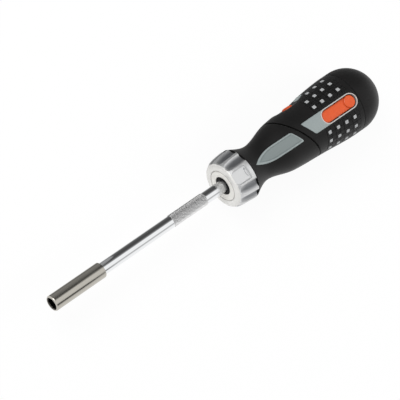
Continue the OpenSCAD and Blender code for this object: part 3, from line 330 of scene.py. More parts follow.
def loft(name, loops, closed=False):
    """A solid from rings of points: each joins the next, and the end rings are capped unless the chain closes."""
    count = len(loops[0])
    last = (len(loops) - 1) * count
    faces = strips(0, count, len(loops))
    if closed:
        faces += [(last + k, last + (k + 1) % count, (k + 1) % count, k) for k in range(count)]
    else:
        faces += [tuple(range(count))[::-1], tuple(range(last, last + count))]
    return tidy_mesh(name, [Vector(p) * MM for loop in loops for p in loop], faces)


def piece(name, mesh, body, finish, slot, *nodes):
    """Puts a finished mesh into the scene, on its body, in place of the CAD nodes that it stands for."""
    made = bpy.data.objects.new(name, mesh)
    bpy.context.scene.collection.objects.link(made)
    mesh.materials.clear()
    mesh.materials.append(finish.material)
    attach(made, body)
    if nodes:
        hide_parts(*nodes)


def ring(x, radius, count=ROUND):
    """A ring of points round the tool's axis; radius is a number or a function of the angle."""
    angles = [2 * pi * k / count for k in range(count)]
    radii = [radius(a) if callable(radius) else radius for a in angles]
    return [(x, r * cos(a), r * sin(a)) for a, r in zip(angles, radii)]


def eased(profile, size, steps=4):
    """A turned outline of [x, r] points with each corner rounded by up to size."""
    out = [tuple(profile[0])]
    for before, corner, after in zip(profile, profile[1:], profile[2:]):
        corner = Vector(corner)
        to_before, to_after = Vector(before) - corner, Vector(after) - corner
        reach = min(size, to_before.length * 0.45, to_after.length * 0.45)
        p, q = corner + to_before.normalized() * reach, corner + to_after.normalized() * reach
        for k in range(steps + 1):
            t = k / steps
            out.append(tuple(p * (1 - t) ** 2 + corner * 2 * t * (1 - t) + q * t * t))
    return out + [tuple(profile[-1])]


def hexagon(flat, soft):
    """Radius of a hexagonal hole at an angle, with a corner at +Y and its corners a little rounded."""
    def radius(angle):
        turn = (angle + pi / 6) % (pi / 3) - pi / 6
        return min(flat / cos(pi / 6 - abs(turn)), flat / cos(pi / 6) - soft)
    return radius


nickel = Finish("satin_nickel", None, Metallic=1.0)
turned = nickel.noise(1.0, 4, (14, 0.6, 0.6))
nickel.set("Roughness", turned * 0.1 + 0.12)
nickel.bump(turned, 0.002)
_, sleeve_y, sleeve_z = nickel.axes()
# Painted shade: inside the bore's radius the nickel is coloured near black, for the shade down the hole.
shaded_bore = (sleeve_y * sleeve_y + sleeve_z * sleeve_z) < BORE_R ** 2
nickel.set("Base Color", nickel.mix(shaded_bore, (0.50, 0.478, 0.43), (0.07, 0.066, 0.058)))
hole = hexagon(HEX_FLAT, HEX_SOFT)
sleeve_outline = [(0, MOUTH_R), (0, SLEEVE_R - SLEEVE_EDGE), (SLEEVE_EDGE, SLEEVE_R),
                  (SLEEVE_L - SLEEVE_EDGE, SLEEVE_R), (SLEEVE_L, SLEEVE_R - SLEEVE_EDGE), (SLEEVE_L, SEAT_R)]
sleeve_rows = [ring(HEX_DEPTH, ON_AXIS), ring(HEX_DEPTH, hole)]
sleeve_rows += [ring(x, lambda a, wider=wider: hole(a) + wider) for x, wider in MOUTH_LEAD]
sleeve_rows += [ring(x, r) for x, r in eased(sleeve_outline, SLEEVE_SOFT)]
sleeve_rows += [ring(SLEEVE_L - 0.3, SEAT_R), ring(SEAT_AT, SEAT_R), ring(SEAT_AT, ON_AXIS)]
piece("socket_sleeve", loft("socket_sleeve", sleeve_rows), "spindle", nickel, "socket_nickel", "bit_socket")

# Shaft: a round steel bar, ground, plated and polished, and duller at its root, where its colour is also darkened as
# painted shade. A band of diamond knurling is rolled into it where two fingers spin it, so the band is a piece round
# a slot in the bar; its crests are coloured as painted highlights and its grooves as painted shade.
SHAFT_R = 3.65
SHAFT_FROM, SHAFT_EDGE = 17.5, 0.3
SHAFT_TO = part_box("blade_shaft")[1].x / MM
NECK_AT, NECK_R = 134.3, 3.05
NECK_EDGE, NECK_END_R = 0.4, 2.6
KNURL_FROM, KNURL_TO = 88.3, 114.1
KNURL_UP, KNURL_DOWN = 0.2, 0.22
KNURL_ROUND = 24
KNURL_SLANT = 1.64
KNURL_PITCH = 2 * pi * SHAFT_R / KNURL_ROUND * KNURL_SLANT
KNURL_STEP, KNURL_FADE = 0.115, 0.5
TOOTH_SLOPE, CREST_SLOPE = 1.7, 2.6
SLOT_R, BAND_R = 2.6, 2.5
BAND_COLUMNS = 300
ROOT_FROM, ROOT_L = 121, 8


def knurl(x, angle):
    """Height of the knurling: diamonds that two crossed sets of rolled grooves leave standing."""
    fade = min(1.0, (x - KNURL_FROM) / KNURL_FADE, (KNURL_TO - x) / KNURL_FADE)
    if fade <= 0:
        return 0.0
    across = angle / (2 * pi) * KNURL_ROUND
    along = (x - KNURL_FROM) / KNURL_PITCH
    waves = [abs((across + s * along) % 1 - 0.5) * 2 for s in (1, -1)]
    tooth = min(1.0, min(waves) * TOOTH_SLOPE)
    return fade * (tooth * (KNURL_UP + KNURL_DOWN) - KNURL_DOWN)


chrome = Finish("polished_chrome", (0.86, 0.87, 0.88), Metallic=1.0)
# Painted shade darkens the colour toward the root, where the shaft runs into the bush; the root is also rougher.
dull_shaded_root = chrome.maths("DIVIDE", chrome.axes()[0] - ROOT_FROM, ROOT_L, clamp=True)
chrome.set("Base Color", chrome.mix(dull_shaded_root, (0.86, 0.87, 0.88), (0.50, 0.505, 0.51)))
chrome.set("Roughness", chrome.noise(0.35, 5, (0.25, 1, 1)) * 0.07 + dull_shaded_root * 0.3 + 0.05)
shaft_outline = [(SHAFT_FROM, ON_AXIS), (SHAFT_FROM, SHAFT_R - SHAFT_EDGE), (SHAFT_FROM + SHAFT_EDGE, SHAFT_R),
                 (KNURL_FROM, SHAFT_R), (KNURL_FROM, SLOT_R), (KNURL_TO, SLOT_R), (KNURL_TO, SHAFT_R),
                 (NECK_AT, SHAFT_R), (NECK_AT, NECK_R), (SHAFT_TO - NECK_EDGE, NECK_R), (SHAFT_TO, NECK_END_R),
                 (SHAFT_TO, ON_AXIS)]
piece("blade_bar", loft("blade_bar", [ring(x, r) for x, r in shaft_outline]), "spindle", chrome, "shaft_chrome",
      "blade_shaft")
knurled = Finish("rolled_knurl", None, Metallic=1.0)
band_x, band_y, band_z = knurled.axes()
across = knurled.maths("ARCTAN2", band_z, band_y) * (KNURL_ROUND / (2 * pi))
along = (band_x - KNURL_FROM) / KNURL_PITCH
tooth = knurled.maths("MINIMUM", *(knurled.wave(across + along * s + 0.5) for s in (1, -1)))
# Painted light: the crests are coloured near white as painted highlights and the grooves near black as painted shade;
# the crests are also smoother.
lit_crest = knurled.maths("MULTIPLY", tooth, CREST_SLOPE, clamp=True)
knurled.set("Base Color", knurled.mix(lit_crest, (0.16, 0.16, 0.165), (1.0, 1.0, 1.0)))
knurled.set("Roughness", 0.38 - lit_crest * 0.24)
knurl_x = [KNURL_FROM + KNURL_STEP * k for k in range(ceil((KNURL_TO - KNURL_FROM) / KNURL_STEP))]
knurl_rows = [ring(KNURL_FROM, BAND_R, BAND_COLUMNS)]
knurl_rows += [ring(x, lambda a, x=x: SHAFT_R + knurl(x, a), BAND_COLUMNS) for x in knurl_x]
knurl_rows += [ring(KNURL_TO, SHAFT_R, BAND_COLUMNS), ring(KNURL_TO, BAND_R, BAND_COLUMNS)]
piece("knurl_band", loft("knurl_band", knurl_rows, closed=True), "spindle", knurled, "shaft_chrome")

# Front plate and bush: a cream-lacquered cover ring over the ratchet, and the black bush that the shaft turns in.
# Both are pressed into the ratchet's cover and stand still while the shaft turns.
PLATE_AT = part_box("front_plate")[0].x / MM
PLATE_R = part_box("front_plate")[1].y / MM
PLATE_T = 1.6
PLATE_SHADE_W = 0.45
BUSH_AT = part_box("shaft_bush")[0].x / MM
BUSH_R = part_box("shaft_bush")[1].y / MM
BUSH_L = 4.7
BUSH_BORE = SHAFT_R + 0.06
TURNED_EDGE = 0.3


def turned_solid(name, profile):
    """A closed turned ring from its [x, r] outline, with its corners eased."""
    soft = eased(profile + profile[:2], TURNED_EDGE)
    return loft(name, [ring(x, r) for x, r in soft[1:-1]], closed=True)


cream = Finish("cream_lacquer", None, Roughness=0.42, Coat_Weight=0.25, Coat_Roughness=0.3)
mottle = cream.noise(0.6, 4)
_, plate_y, plate_z = cream.axes()
# Painted shade: a dark band round the plate's outer edge, in the groove between the plate and the collar.
plate_edge_shade = (plate_y * plate_y + plate_z * plate_z) ** 0.5 > PLATE_R - PLATE_SHADE_W
cream.set("Base Color", cream.mix(plate_edge_shade * 0.6, cream.mix(mottle, (0.80, 0.785, 0.74), (0.87, 0.855, 0.815)),
                                  (0.30, 0.29, 0.27)))
cream.bump(cream.noise(3.0, 3), 0.01)
plate = turned_solid("plate_ring", [(PLATE_AT, BUSH_R + 0.05), (PLATE_AT, PLATE_R - 0.2), (PLATE_AT + 0.2, PLATE_R),
                                    (PLATE_AT + PLATE_T, PLATE_R), (PLATE_AT + PLATE_T, BUSH_R + 0.05)])
piece("plate_ring", plate, "handle_front", cream, "plate_cream", "front_plate")
black_bush = Finish("black_bush", (0.004, 0.004, 0.0045), Specular_IOR_Level=0.08)
black_bush.set("Roughness", black_bush.noise(2.0, 4) * 0.2 + 0.35)
bush = turned_solid("bush_ring", [(BUSH_AT, BUSH_BORE), (BUSH_AT, BUSH_R), (BUSH_AT + BUSH_L, BUSH_R),
                                  (BUSH_AT + BUSH_L, BUSH_BORE)])
piece("bush_ring", bush, "handle_front", black_bush, "bush_black", "shaft_bush")

# Selector collar: a die-cast ring in satin silver paint that turns a little to either side. Three flat thumb panels
# are sunk into it, with flutes between them that run out at the rear rim. The flutes are darkened by their depth as
# painted shade, and the front bevel is coloured lighter as a painted highlight.
COLLAR_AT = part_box("selector_collar")[0].x / MM
COLLAR_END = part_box("selector_collar")[1].x / MM
COLLAR_BORE, CAVITY_R = 12.6, 10.4
FACE_BORE, FACE_R = PLATE_R + 0.1, 13.0
FACE_PROFILE = [(4.0, COLLAR_BORE), (3.9, CAVITY_R), (1.9, CAVITY_R), (1.85, FACE_BORE), (0.25, FACE_BORE),
                (0.04, FACE_BORE + 0.18), (0, FACE_BORE + 0.4), (0, FACE_R - 0.45), (0.03, FACE_R - 0.1)]
REAR_PROFILE = [(0.4, 0.0), (0.15, 0.05), (0.03, 0.2), (0, 0.45)]
BORE_EDGE = 0.2
THUMB_PANELS = 3
THUMB_SPAN = 2 * pi / THUMB_PANELS
THUMB_FROM, THUMB_TO = 129.5, 139.6
THUMB_HALF, THUMB_TURN = 4.0, radians(19)
THUMB_CORNER, SIDE_SOFT, END_SOFT = 1.6, 0.18, 0.2
THUMB_FLAT, THUMB_RISE = 13.3, tan(radians(6.5))
FLUTES = (radians(32), radians(60), radians(88))
FLUTE_R, FLUTE_BLEND = 4.6, 0.12
FLUTE_FLAT, FLUTE_RISE = 13.75, tan(radians(4.5))
OUTLINE = [(128.8, 13.0), (129.3, 13.72), (131.3, 15.0), (134.5, 15.66), (138.0, 16.0), (140.3, 16.17), (142.3, 16.2)]
OUTLINE_R, OUTLINE_BOW = 16.2, 0.0105
COLLAR_ROUND = 720
ROW_SPANS = [(128.9, 0.1, 28), (131.7, 0.25, 31), (139.4, 0.08, 7), (140.4, 0.6, 3)]
LIT_BEVEL_TO = 129.75
FLUTE_SHADE_FROM, FLUTE_SHADE_TURN, FLUTE_SHADE_SHARE = 130.6, 0.32, 0.75


def between(points, x):
    """Straight-line value between [x, value] points."""
    for (x0, y0), (x1, y1) in zip(points, points[1:]):
        if x <= x1:
            return y0 + (y1 - y0) * (x - x0) / (x1 - x0)
    return points[-1][1]


def step(edge0, edge1, value):
    """Smooth step from 0 to 1 as the value goes from one edge to the other."""
    t = max(0.0, min(1.0, (value - edge0) / (edge1 - edge0)))
    return t * t * (3 - 2 * t)


def lower_of(first, second, blend):
    """The smaller of two radii, with a small round where they cross."""
    share = max(0.0, min(1.0, 0.5 + (second - first) / (2 * blend)))
    return second + (first - second) * share - blend * share * (1 - share)


def collar_radius(x, angle):
    """Outer radius of the collar, with the thumb panels and flutes sunk below its round outline."""
    full = between(OUTLINE, x)
    turn = abs((angle - pi / 2 + pi / THUMB_PANELS) % THUMB_SPAN - pi / THUMB_PANELS)
    if turn < THUMB_TURN:
        sunk = (THUMB_FLAT + THUMB_RISE * (x - THUMB_FROM)) / cos(turn)
        side = sunk * sin(turn)
        half = THUMB_HALF - max(0.0, THUMB_CORNER - (x - THUMB_FROM))
        inside = step(half + SIDE_SOFT, half - SIDE_SOFT, side)
        inside *= step(THUMB_FROM - END_SOFT, THUMB_FROM + END_SOFT, x)
        inside *= step(THUMB_TO + END_SOFT, THUMB_TO - END_SOFT, x)
        return full + (min(sunk, full) - full) * inside
    middle = FLUTE_FLAT + FLUTE_RISE * (x - THUMB_FROM) + FLUTE_R
    away = min(abs(turn - flute) for flute in FLUTES)
    reach = FLUTE_R ** 2 - (middle * sin(away)) ** 2
    return lower_of(full, middle * cos(away) - sqrt(reach), FLUTE_BLEND) if reach > 0 else full


silver = Finish("silver_paint", None, Metallic=0.8, Coat_Weight=0.2, Coat_Roughness=0.2)
flake = silver.noise(9.0, 2)
collar_x, collar_y, collar_z = silver.axes()
# Painted highlight: the collar's front face and bevel are coloured light and made less metallic.
rim = collar_x < LIT_BEVEL_TO
collar_r = (collar_y * collar_y + collar_z * collar_z) ** 0.5
collar_turn = silver.wave((silver.maths("ARCTAN2", collar_z, collar_y) - pi / 2) / THUMB_SPAN)
depth = OUTLINE_R - (COLLAR_END - collar_x) ** 2 * OUTLINE_BOW - collar_r
# Painted shade: the paint darkens toward deep grey by its depth below the round outline, in the flutes away from the
# thumb panels.
hollow = silver.maths("MULTIPLY", depth * (collar_x > FLUTE_SHADE_FROM), (collar_turn > FLUTE_SHADE_TURN) * FLUTE_SHADE_SHARE, clamp=True)
paint = silver.mix(hollow, silver.mix(flake, (0.62, 0.625, 0.63), (0.70, 0.705, 0.705)), (0.20, 0.205, 0.215))
silver.set("Base Color", silver.mix(rim, paint, (0.80, 0.79, 0.765)))
silver.set("Metallic", 0.68 - rim * 0.43)
silver.set("Roughness", silver.noise(0.8, 4) * 0.1 + 0.3)
silver.bump(silver.noise(5.0, 3), 0.006)
rows_at = [round(start + pitch * k, 3) for start, pitch, count in ROW_SPANS for k in range(count)]
collar_rows = [ring(COLLAR_AT + x, r, COLLAR_ROUND) for x, r in FACE_PROFILE]
collar_rows += [ring(x, lambda a, x=x: collar_radius(x, a), COLLAR_ROUND) for x in rows_at]
for before, drop in REAR_PROFILE:
    collar_rows.append(ring(COLLAR_END - before, lambda a: collar_radius(COLLAR_END, a) - drop, COLLAR_ROUND))
collar_rows += [ring(COLLAR_END, COLLAR_BORE + BORE_EDGE, COLLAR_ROUND),
                ring(COLLAR_END - BORE_EDGE, COLLAR_BORE, COLLAR_ROUND)]
piece("collar_shell", loft("collar_shell", collar_rows, closed=True), "selector", silver, "collar_silver",
      "selector_collar")

# Arrow marks: a thin bowed arrow in grey at the rear of each thumb panel, to show which way the collar turns. It is
# filled into a groove and stands a hair proud.
MARK_X = 138.1
MARK_TURN = radians(10)
MARK_WIDTH, MARK_BOW = 0.22, 0.6
MARK_STEPS = 20
MARK_LIFTS = (-0.08, 0.02)


def mark_point(base, turn, x, lift):
    """A point over the thumb panel at an angle base, turned from the panel's middle line."""
    r = (THUMB_FLAT + THUMB_RISE * (x - THUMB_FROM) + lift) / cos(turn)
    return (x, r * cos(base + turn), r * sin(base + turn))


def arrow_mesh(name, bases):
    """A bowed stroke with a head at one end, as a thin solid that lies on each thumb panel named by its angle."""
    shares = [k / MARK_STEPS for k in range(MARK_STEPS + 1)]
    spine = [(MARK_TURN * (1 - 2 * t), MARK_X + MARK_BOW * (2 * t - 1) ** 2) for t in shares]
    sides = [[(turn, x + s * MARK_WIDTH / 2) for turn, x in spine] for s in (-1, 1)]
    tip, neck = spine[-1], spine[-3]
    head = [(tip[0] - 0.03, tip[1] + 0.2), (neck[0], neck[1] - 0.5), (neck[0] + 0.02, neck[1] + 0.5)]
    n = len(spine)
    verts, faces = [], []
    for base in bases:
        low0, low1, top0, top1 = (len(verts) + n * k for k in range(4))
        verts += [mark_point(base, turn, x, lift) for lift in MARK_LIFTS for line in sides for turn, x in line]
        for k in range(n - 1):
            faces += [(a + k, b + k, c + k, d + k) for a, b, c, d in
                      ((top0, top0 + 1, top1 + 1, top1), (low0, low1, low1 + 1, low0 + 1),
                       (low0, low0 + 1, top0 + 1, top0), (low1, top1, top1 + 1, low1 + 1))]
        faces += [(low0, top0, top1, low1), (low0 + n - 1, low1 + n - 1, top1 + n - 1, top0 + n - 1)]
        start = len(verts)
        verts += [mark_point(base, turn, x, lift) for lift in MARK_LIFTS for turn, x in head]
        faces += [(start, start + 1, start + 2), (start + 3, start + 5, start + 4)]
        faces += [(start + k, start + 3 + k, start + 3 + (k + 1) % 3, start + (k + 1) % 3) for k in range(3)]
    return tidy_mesh(name, [Vector(v) * MM for v in verts], faces)


ink = Finish("grey_ink", (0.20, 0.21, 0.23))
ink.set("Roughness", ink.noise(3.0, 2) * 0.2 + 0.5)
marks_mesh = arrow_mesh("collar_marks", [pi / 2 + THUMB_SPAN * k for k in range(THUMB_PANELS)])
piece("collar_marks", marks_mesh, "selector", ink, "collar_silver")

# Front grip: a sleeve of black soft rubber moulded over the front half of the handle. It narrows to a neck behind the
# collar's flange, and an oblique cut ends it at the swivel joint. A pointed opening above and below takes the inlays.
HANDLE_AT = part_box("front_grip")[0].x / MM
HANDLE_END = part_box("rear_grip")[1].x / MM
JOINT_AT = {joint["name"]: [value / MM for value in joint["pos_m"]] for joint in frame["joints"] if "pos_m" in joint}
SEAM_X = JOINT_AT["handle_swivel"][0]
SEAM_TILT = radians(30)
SEAM_LEAN = tan(SEAM_TILT)
SEAM_HALF = 0.45
HIP_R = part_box("cap_grip")[1].y / MM
STATIONS = [(HANDLE_AT, 16.0, -0.5), (HANDLE_AT + 12.9, 11.6, 0.0), (HANDLE_AT + 31.9, 15.85, 0.12),
            (HANDLE_AT + 57.3, 17.75, 0.085), (HANDLE_END - 2, HIP_R, 0.0), (HANDLE_END + 40, HIP_R, 0.0)]
RUBBER_T = 1.6
FRONT_EDGE, SEAM_EDGE = 0.5, 0.4
LANCE_AT, LANCE_REAR = HANDLE_AT + 4.5, SEAM_X - 3.8
LANCE_HALF = 4.25
LANCE_TIP = 17
LANCE_CORNER, LANCE_CORNER_LEAST = 1.3, 0.35
CUT_GAP = 0.06
CUT_LOW, CUT_HIGH = 8, 30


def handle_r(x):
    """Radius of the handle at a place along the tool, on smooth curves between the stations."""
    for (x0, r0, m0), (x1, r1, m1) in zip(STATIONS, STATIONS[1:]):
        if x <= x1 or x1 == STATIONS[-1][0]:
            span, t = x1 - x0, (x - x0) / (x1 - x0)
            return (r0 * (2 * t ** 3 - 3 * t ** 2 + 1) + span * m0 * (t ** 3 - 2 * t ** 2 + t)
                    + r1 * (3 * t ** 2 - 2 * t ** 3) + span * m1 * (t ** 3 - t ** 2))


def seam_at(angle, offset, inset=0.0):
    """Where the handle's surface at an angle meets the plane that lies offset behind the oblique joint."""
    x = SEAM_X
    for _ in range(12):
        x = SEAM_X + (offset - (handle_r(x) - inset) * cos(angle) * sin(SEAM_TILT)) / cos(SEAM_TILT)
    return x


def skin_loops(starts, ends, soft_start, soft_end, shape=None, columns=360, rows=150):
    """Rings of a hollow rubber skin between two edges that are given as functions of the angle and the inset."""
    loops = []
    angles = [2 * pi * k / columns for k in range(columns)]

    def add(x_of, inset):
        loop = []
        for a in angles:
            x = x_of(a, inset)
            r = handle_r(x) - inset
            if shape:
                r = shape(x, a, r, inset)
            loop.append((x, r * cos(a), r * sin(a)))
        loops.append(loop)

    bends = [pi / 2 * k / 4 for k in range(5)]
    for bend in bends:
        add(lambda a, i: starts(a, i) + soft_start * (1 - sin(bend)), soft_start * (1 - cos(pi / 2 - bend)))
    for k in range(1, rows):
        t = k / rows
        add(lambda a, i: (starts(a, 0) + soft_start) * (1 - t) + (ends(a, 0) - soft_end) * t, 0.0)
    for bend in bends:
        add(lambda a, i: ends(a, i) - soft_end * (1 - sin(bend)), soft_end * (1 - cos(bend)))
    add(ends, RUBBER_T)
    for k in (0.75, 0.5, 0.25):
        add(lambda a, i: starts(a, 0) * (1 - k) + ends(a, 0) * k, RUBBER_T)
    add(starts, RUBBER_T)
    return loops


def cut(mesh, *cutters):
    """Takes closed cutter meshes out of a mesh."""
    host = bpy.data.objects.new("host", mesh)
    bpy.context.scene.collection.objects.link(host)
    tools = []
    for cutter in cutters:
        tool = bpy.data.objects.new("tool", cutter)
        bpy.context.scene.collection.objects.link(tool)
        taken = host.modifiers.new("cut", "BOOLEAN")
        taken.object, taken.operation, taken.solver = tool, "DIFFERENCE", "EXACT"
        tools.append(tool)
    bpy.context.view_layer.update()
    done = bpy.data.meshes.new_from_object(host.evaluated_get(bpy.context.evaluated_depsgraph_get()))
    done.name = mesh.name
    for thing in [host, *tools]:
        bpy.data.objects.remove(thing)
    done.shade_smooth()
    done.set_sharp_from_angle(angle=radians(40))
    return done


def openings(outline):
    """Cutters over a plan outline, through the skin above and below."""
    return [loft("prism", [[(x, y, z) for x, y in outline] for z in span])
            for span in ((CUT_LOW, CUT_HIGH), (-CUT_HIGH, -CUT_LOW))]


def along_line(start, end, steps):
    """The points that part a straight line into steps, without its ends."""
    return [(start[0] + (end[0] - start[0]) * k / steps, start[1] + (end[1] - start[1]) * k / steps)
            for k in range(1, steps)]


def bent(before, corner, after, steps=6):
    """Points of a rounded corner between two points."""
    return [(before[0] * (1 - t) ** 2 + corner[0] * 2 * t * (1 - t) + after[0] * t * t,
             before[1] * (1 - t) ** 2 + corner[1] * 2 * t * (1 - t) + after[1] * t * t)
            for t in (k / steps for k in range(steps + 1))]


def lance_outline(inset=0.0, per_side=24):
    """The front inlay from above, drawn in by inset: pointed front, straight sides, rear edge along the joint."""
    w = LANCE_HALF - inset
    soft = max(LANCE_CORNER_LEAST, LANCE_CORNER - inset * 0.9)
    start, end = LANCE_AT + 4 * inset, LANCE_AT + LANCE_TIP
    side = [(start + (end - start) * t, w * t * (2 - t)) for t in (k / per_side for k in range(per_side + 1))]
    high, low = (LANCE_REAR - inset - s * w * SEAM_LEAN for s in (1, -1))
    upper = bent((high - soft, w), (high, w), (high + soft * SEAM_LEAN, w - soft))
    lower = bent((low - soft * SEAM_LEAN, soft - w), (low, -w), (low - soft, -w))
    return (side + along_line((end, w), upper[0], 16) + upper + along_line(upper[-1], lower[0], 12) + lower
            + along_line(lower[-1], (end, -w), 20) + [(x, -y) for x, y in side[:0:-1]])


rubber = Finish("soft_rubber", None, Specular_IOR_Level=0.14, Sheen_Weight=0.1, Sheen_Roughness=0.45)
grain = rubber.noise(6.0, 3)
cloud = rubber.noise(0.09, 3)
rubber.set("Base Color", rubber.mix(cloud, (0.006, 0.006, 0.006), (0.011, 0.0105, 0.0105)))
rubber.set("Roughness", cloud * 0.12 + 0.42)
rubber.bump(grain, 0.02)
front_loops = skin_loops(lambda a, i: HANDLE_AT, lambda a, i: seam_at(a, -SEAM_HALF, i), FRONT_EDGE, SEAM_EDGE)
front_mesh = cut(loft("front_rubber", front_loops, closed=True), *openings(lance_outline(-CUT_GAP)))
piece("front_rubber", front_mesh, "handle_front", rubber, "rubber_black", "front_grip")

# Front inlays: one pointed plate of grey plastic above and one below, set flush into the rubber. A raised border runs
# round a sunk field of rougher, darker grey, which is left bare.
INLAY_LIFT = 0.12
INLAY_DOWN = 1.45
FIELD_DEPTH = 0.45
FIELD_AT = 0.015 - FIELD_DEPTH
LANCE_STEPS = [(0.0, -INLAY_DOWN), (0.0, -0.25), (0.02, 0.0), (0.08, INLAY_LIFT * 0.8), (0.18, INLAY_LIFT),
               (0.7, INLAY_LIFT), (0.8, INLAY_LIFT * 0.7), (0.86, 0.0), (0.92, -FIELD_DEPTH * 0.8),
               (1.02, -FIELD_DEPTH), (1.4, -FIELD_DEPTH), (2.4, -FIELD_DEPTH)]
FIELD_STEPS = [(0.98, -1.2), (0.98, -FIELD_DEPTH - 0.1), (1.06, FIELD_AT), (1.4, FIELD_AT), (2.4, FIELD_AT)]
LANCE_SPINE = (LANCE_AT + 12, LANCE_REAR - 3)


def on_handle(x, y, h, side=1):
    """A point of a plate on the handle from its plan place; h is its height over the rubber."""
    r = handle_r(x) + h
    return (x, y, side * sqrt(max(0.0, r * r - y * y)))


def plate_mesh(name, heights, side):
    """A plate from nested outlines (inset, height), closed below by a floor and above onto a middle line."""
    def drawn_in(inset, h, share):
        low, high = LANCE_SPINE
        return [on_handle(x + (max(low, min(high, x)) - x) * share, y * (1 - share), h, side)
                for x, y in lance_outline(inset)]

    loops = [[on_handle(x, y, h, side) for x, y in lance_outline(inset)] for inset, h in heights]
    loops += [drawn_in(*heights[-1], share) for share in (0.5, 1.0)]
    count, base = len(loops[0]), len(loops) * len(loops[0])
    faces = strips(0, count, len(loops))
    loops += [drawn_in(*heights[0], share) for share in (0.5, 1.0)]
    for a, b in ((0, base), (base, base + count)):
        faces += [(a + k, b + k, b + (k + 1) % count, a + (k + 1) % count) for k in range(count)]
    return tidy_mesh(name, [Vector(p) * MM for loop in loops for p in loop], faces, 50)


grey = Finish("grey_plastic", None, Coat_Weight=0.12, Coat_Roughness=0.35)
speck = grey.noise(4.0, 4)
grey.set("Base Color", grey.mix(speck, (0.25, 0.29, 0.29), (0.30, 0.34, 0.338)))
grey.set("Roughness", grey.noise(0.7, 3) * 0.12 + 0.40)
grey.bump(speck, 0.008)
matt_grey = Finish("grey_field", None, Roughness=0.55)
matt_grey.set("Base Color", matt_grey.mix(matt_grey.noise(4.0, 4), (0.175, 0.205, 0.205), (0.225, 0.258, 0.256)))
matt_grey.bump(matt_grey.noise(2.5, 4), 0.03)
for node, end, side in (("front_inlay_top", "_top", 1), ("front_inlay_bottom", "_bottom", -1)):
    plate = plate_mesh("pointed_plate" + end, LANCE_STEPS, side)
    piece("pointed_plate" + end, plate, "handle_front", grey, "inlay_grey", node)
    field = plate_mesh("plate_field" + end, FIELD_STEPS, side)
    piece("plate_field" + end, field, "handle_front", matt_grey, "inlay_grey")

# Rear grip: the same rubber over the rear half of the handle, which turns on the oblique joint. A thumb scoop is
# moulded into its side round the lock button, and long openings above and below take the grey panels. Faint laced
# grooves run round its sides, bumped in and coloured darker as painted shade.
REAR_EDGE = 0.12
BUTTON_X = SEAM_X + 10
BUTTON_L, BUTTON_W = 4.2, 7.0
BUTTON_GAP, BUTTON_HOLE = 0.25, (10, 25)
SCOOP_R, SCOOP_FLOOR, SCOOP_LIP = 30.0, 15.3, 0.9
SCOOP_X = BUTTON_X - BUTTON_L / 4
WINDOW_AT, WINDOW_L, WINDOW_R = SEAM_X + 15.8, 25.8, 4.25
WINDOW_END = WINDOW_AT + WINDOW_L
WINDOW_MID = (WINDOW_AT + WINDOW_END) / 2
PANEL_EDGE = 4.9
PANEL_FRONT = SEAM_X + 4.7
PANEL_CORNER, PANEL_CORNER_LEAST = 1.2, 0.4
LACE_FROM, LACE_TO, LACE_PITCH = SEAM_X + 14.2, SEAM_X + 39.8, 3.2
LACE_TURN_FROM, LACE_TURN_TO, LACE_ROWS = radians(19.5), radians(78), 180 / pi / 9.75
LACE_SHARE = 0.16


def scooped(x, angle, r, inset):
    """Radius with the thumb scoop taken out: a ball-shaped hollow with a soft lip."""
    across = SCOOP_R ** 2 - (x - SCOOP_X) ** 2
    middle = SCOOP_FLOOR + SCOOP_R
    reach = across - (middle * sin(angle)) ** 2
    if across <= 0 or cos(angle) <= 0 or reach <= 0:
        return r
    hollow = middle * cos(angle) - sqrt(reach) - inset
    gap = r - hollow
    if gap <= -SCOOP_LIP:
        return r
    if gap >= SCOOP_LIP:
        return hollow
    return r - (gap + SCOOP_LIP) ** 2 / (4 * SCOOP_LIP)


def panel_outline(inset=0.0):
    """The long panel from above, drawn in by inset: front edge along the joint, straight sides, round rear end."""
    w = PANEL_EDGE - inset
    soft = max(PANEL_CORNER_LEAST, PANEL_CORNER - inset)
    high, low = (PANEL_FRONT + inset - s * w * SEAM_LEAN for s in (1, -1))
    end_x = WINDOW_END - WINDOW_R
    first = bent((low - soft * SEAM_LEAN, soft - w), (low, -w), (low + soft, -w))
    last = bent((high + soft, w), (high, w), (high + soft * SEAM_LEAN, w - soft))
    bend = [(end_x + w * cos(a), w * sin(a)) for a in (-pi / 2 + pi * k / 24 for k in range(25))]
    return (first + along_line(first[-1], (end_x, -w), 30) + bend + along_line((end_x, w), last[0], 34) + last
            + along_line(last[-1], first[0], 12))


def capsule(inset=0.0, ends=24, sides=30):
    """The lever's window from above, drawn in by inset."""
    r = WINDOW_R - inset
    x0, x1 = WINDOW_AT + WINDOW_R, WINDOW_END - WINDOW_R
    turns = [-pi / 2 + pi * k / ends for k in range(ends + 1)]
    return ([(x1 + r * cos(a), r * sin(a)) for a in turns] + along_line((x1, r), (x0, r), sides)
            + [(x0 - r * cos(a), -r * sin(a)) for a in turns] + along_line((x0, -r), (x1, -r), sides))


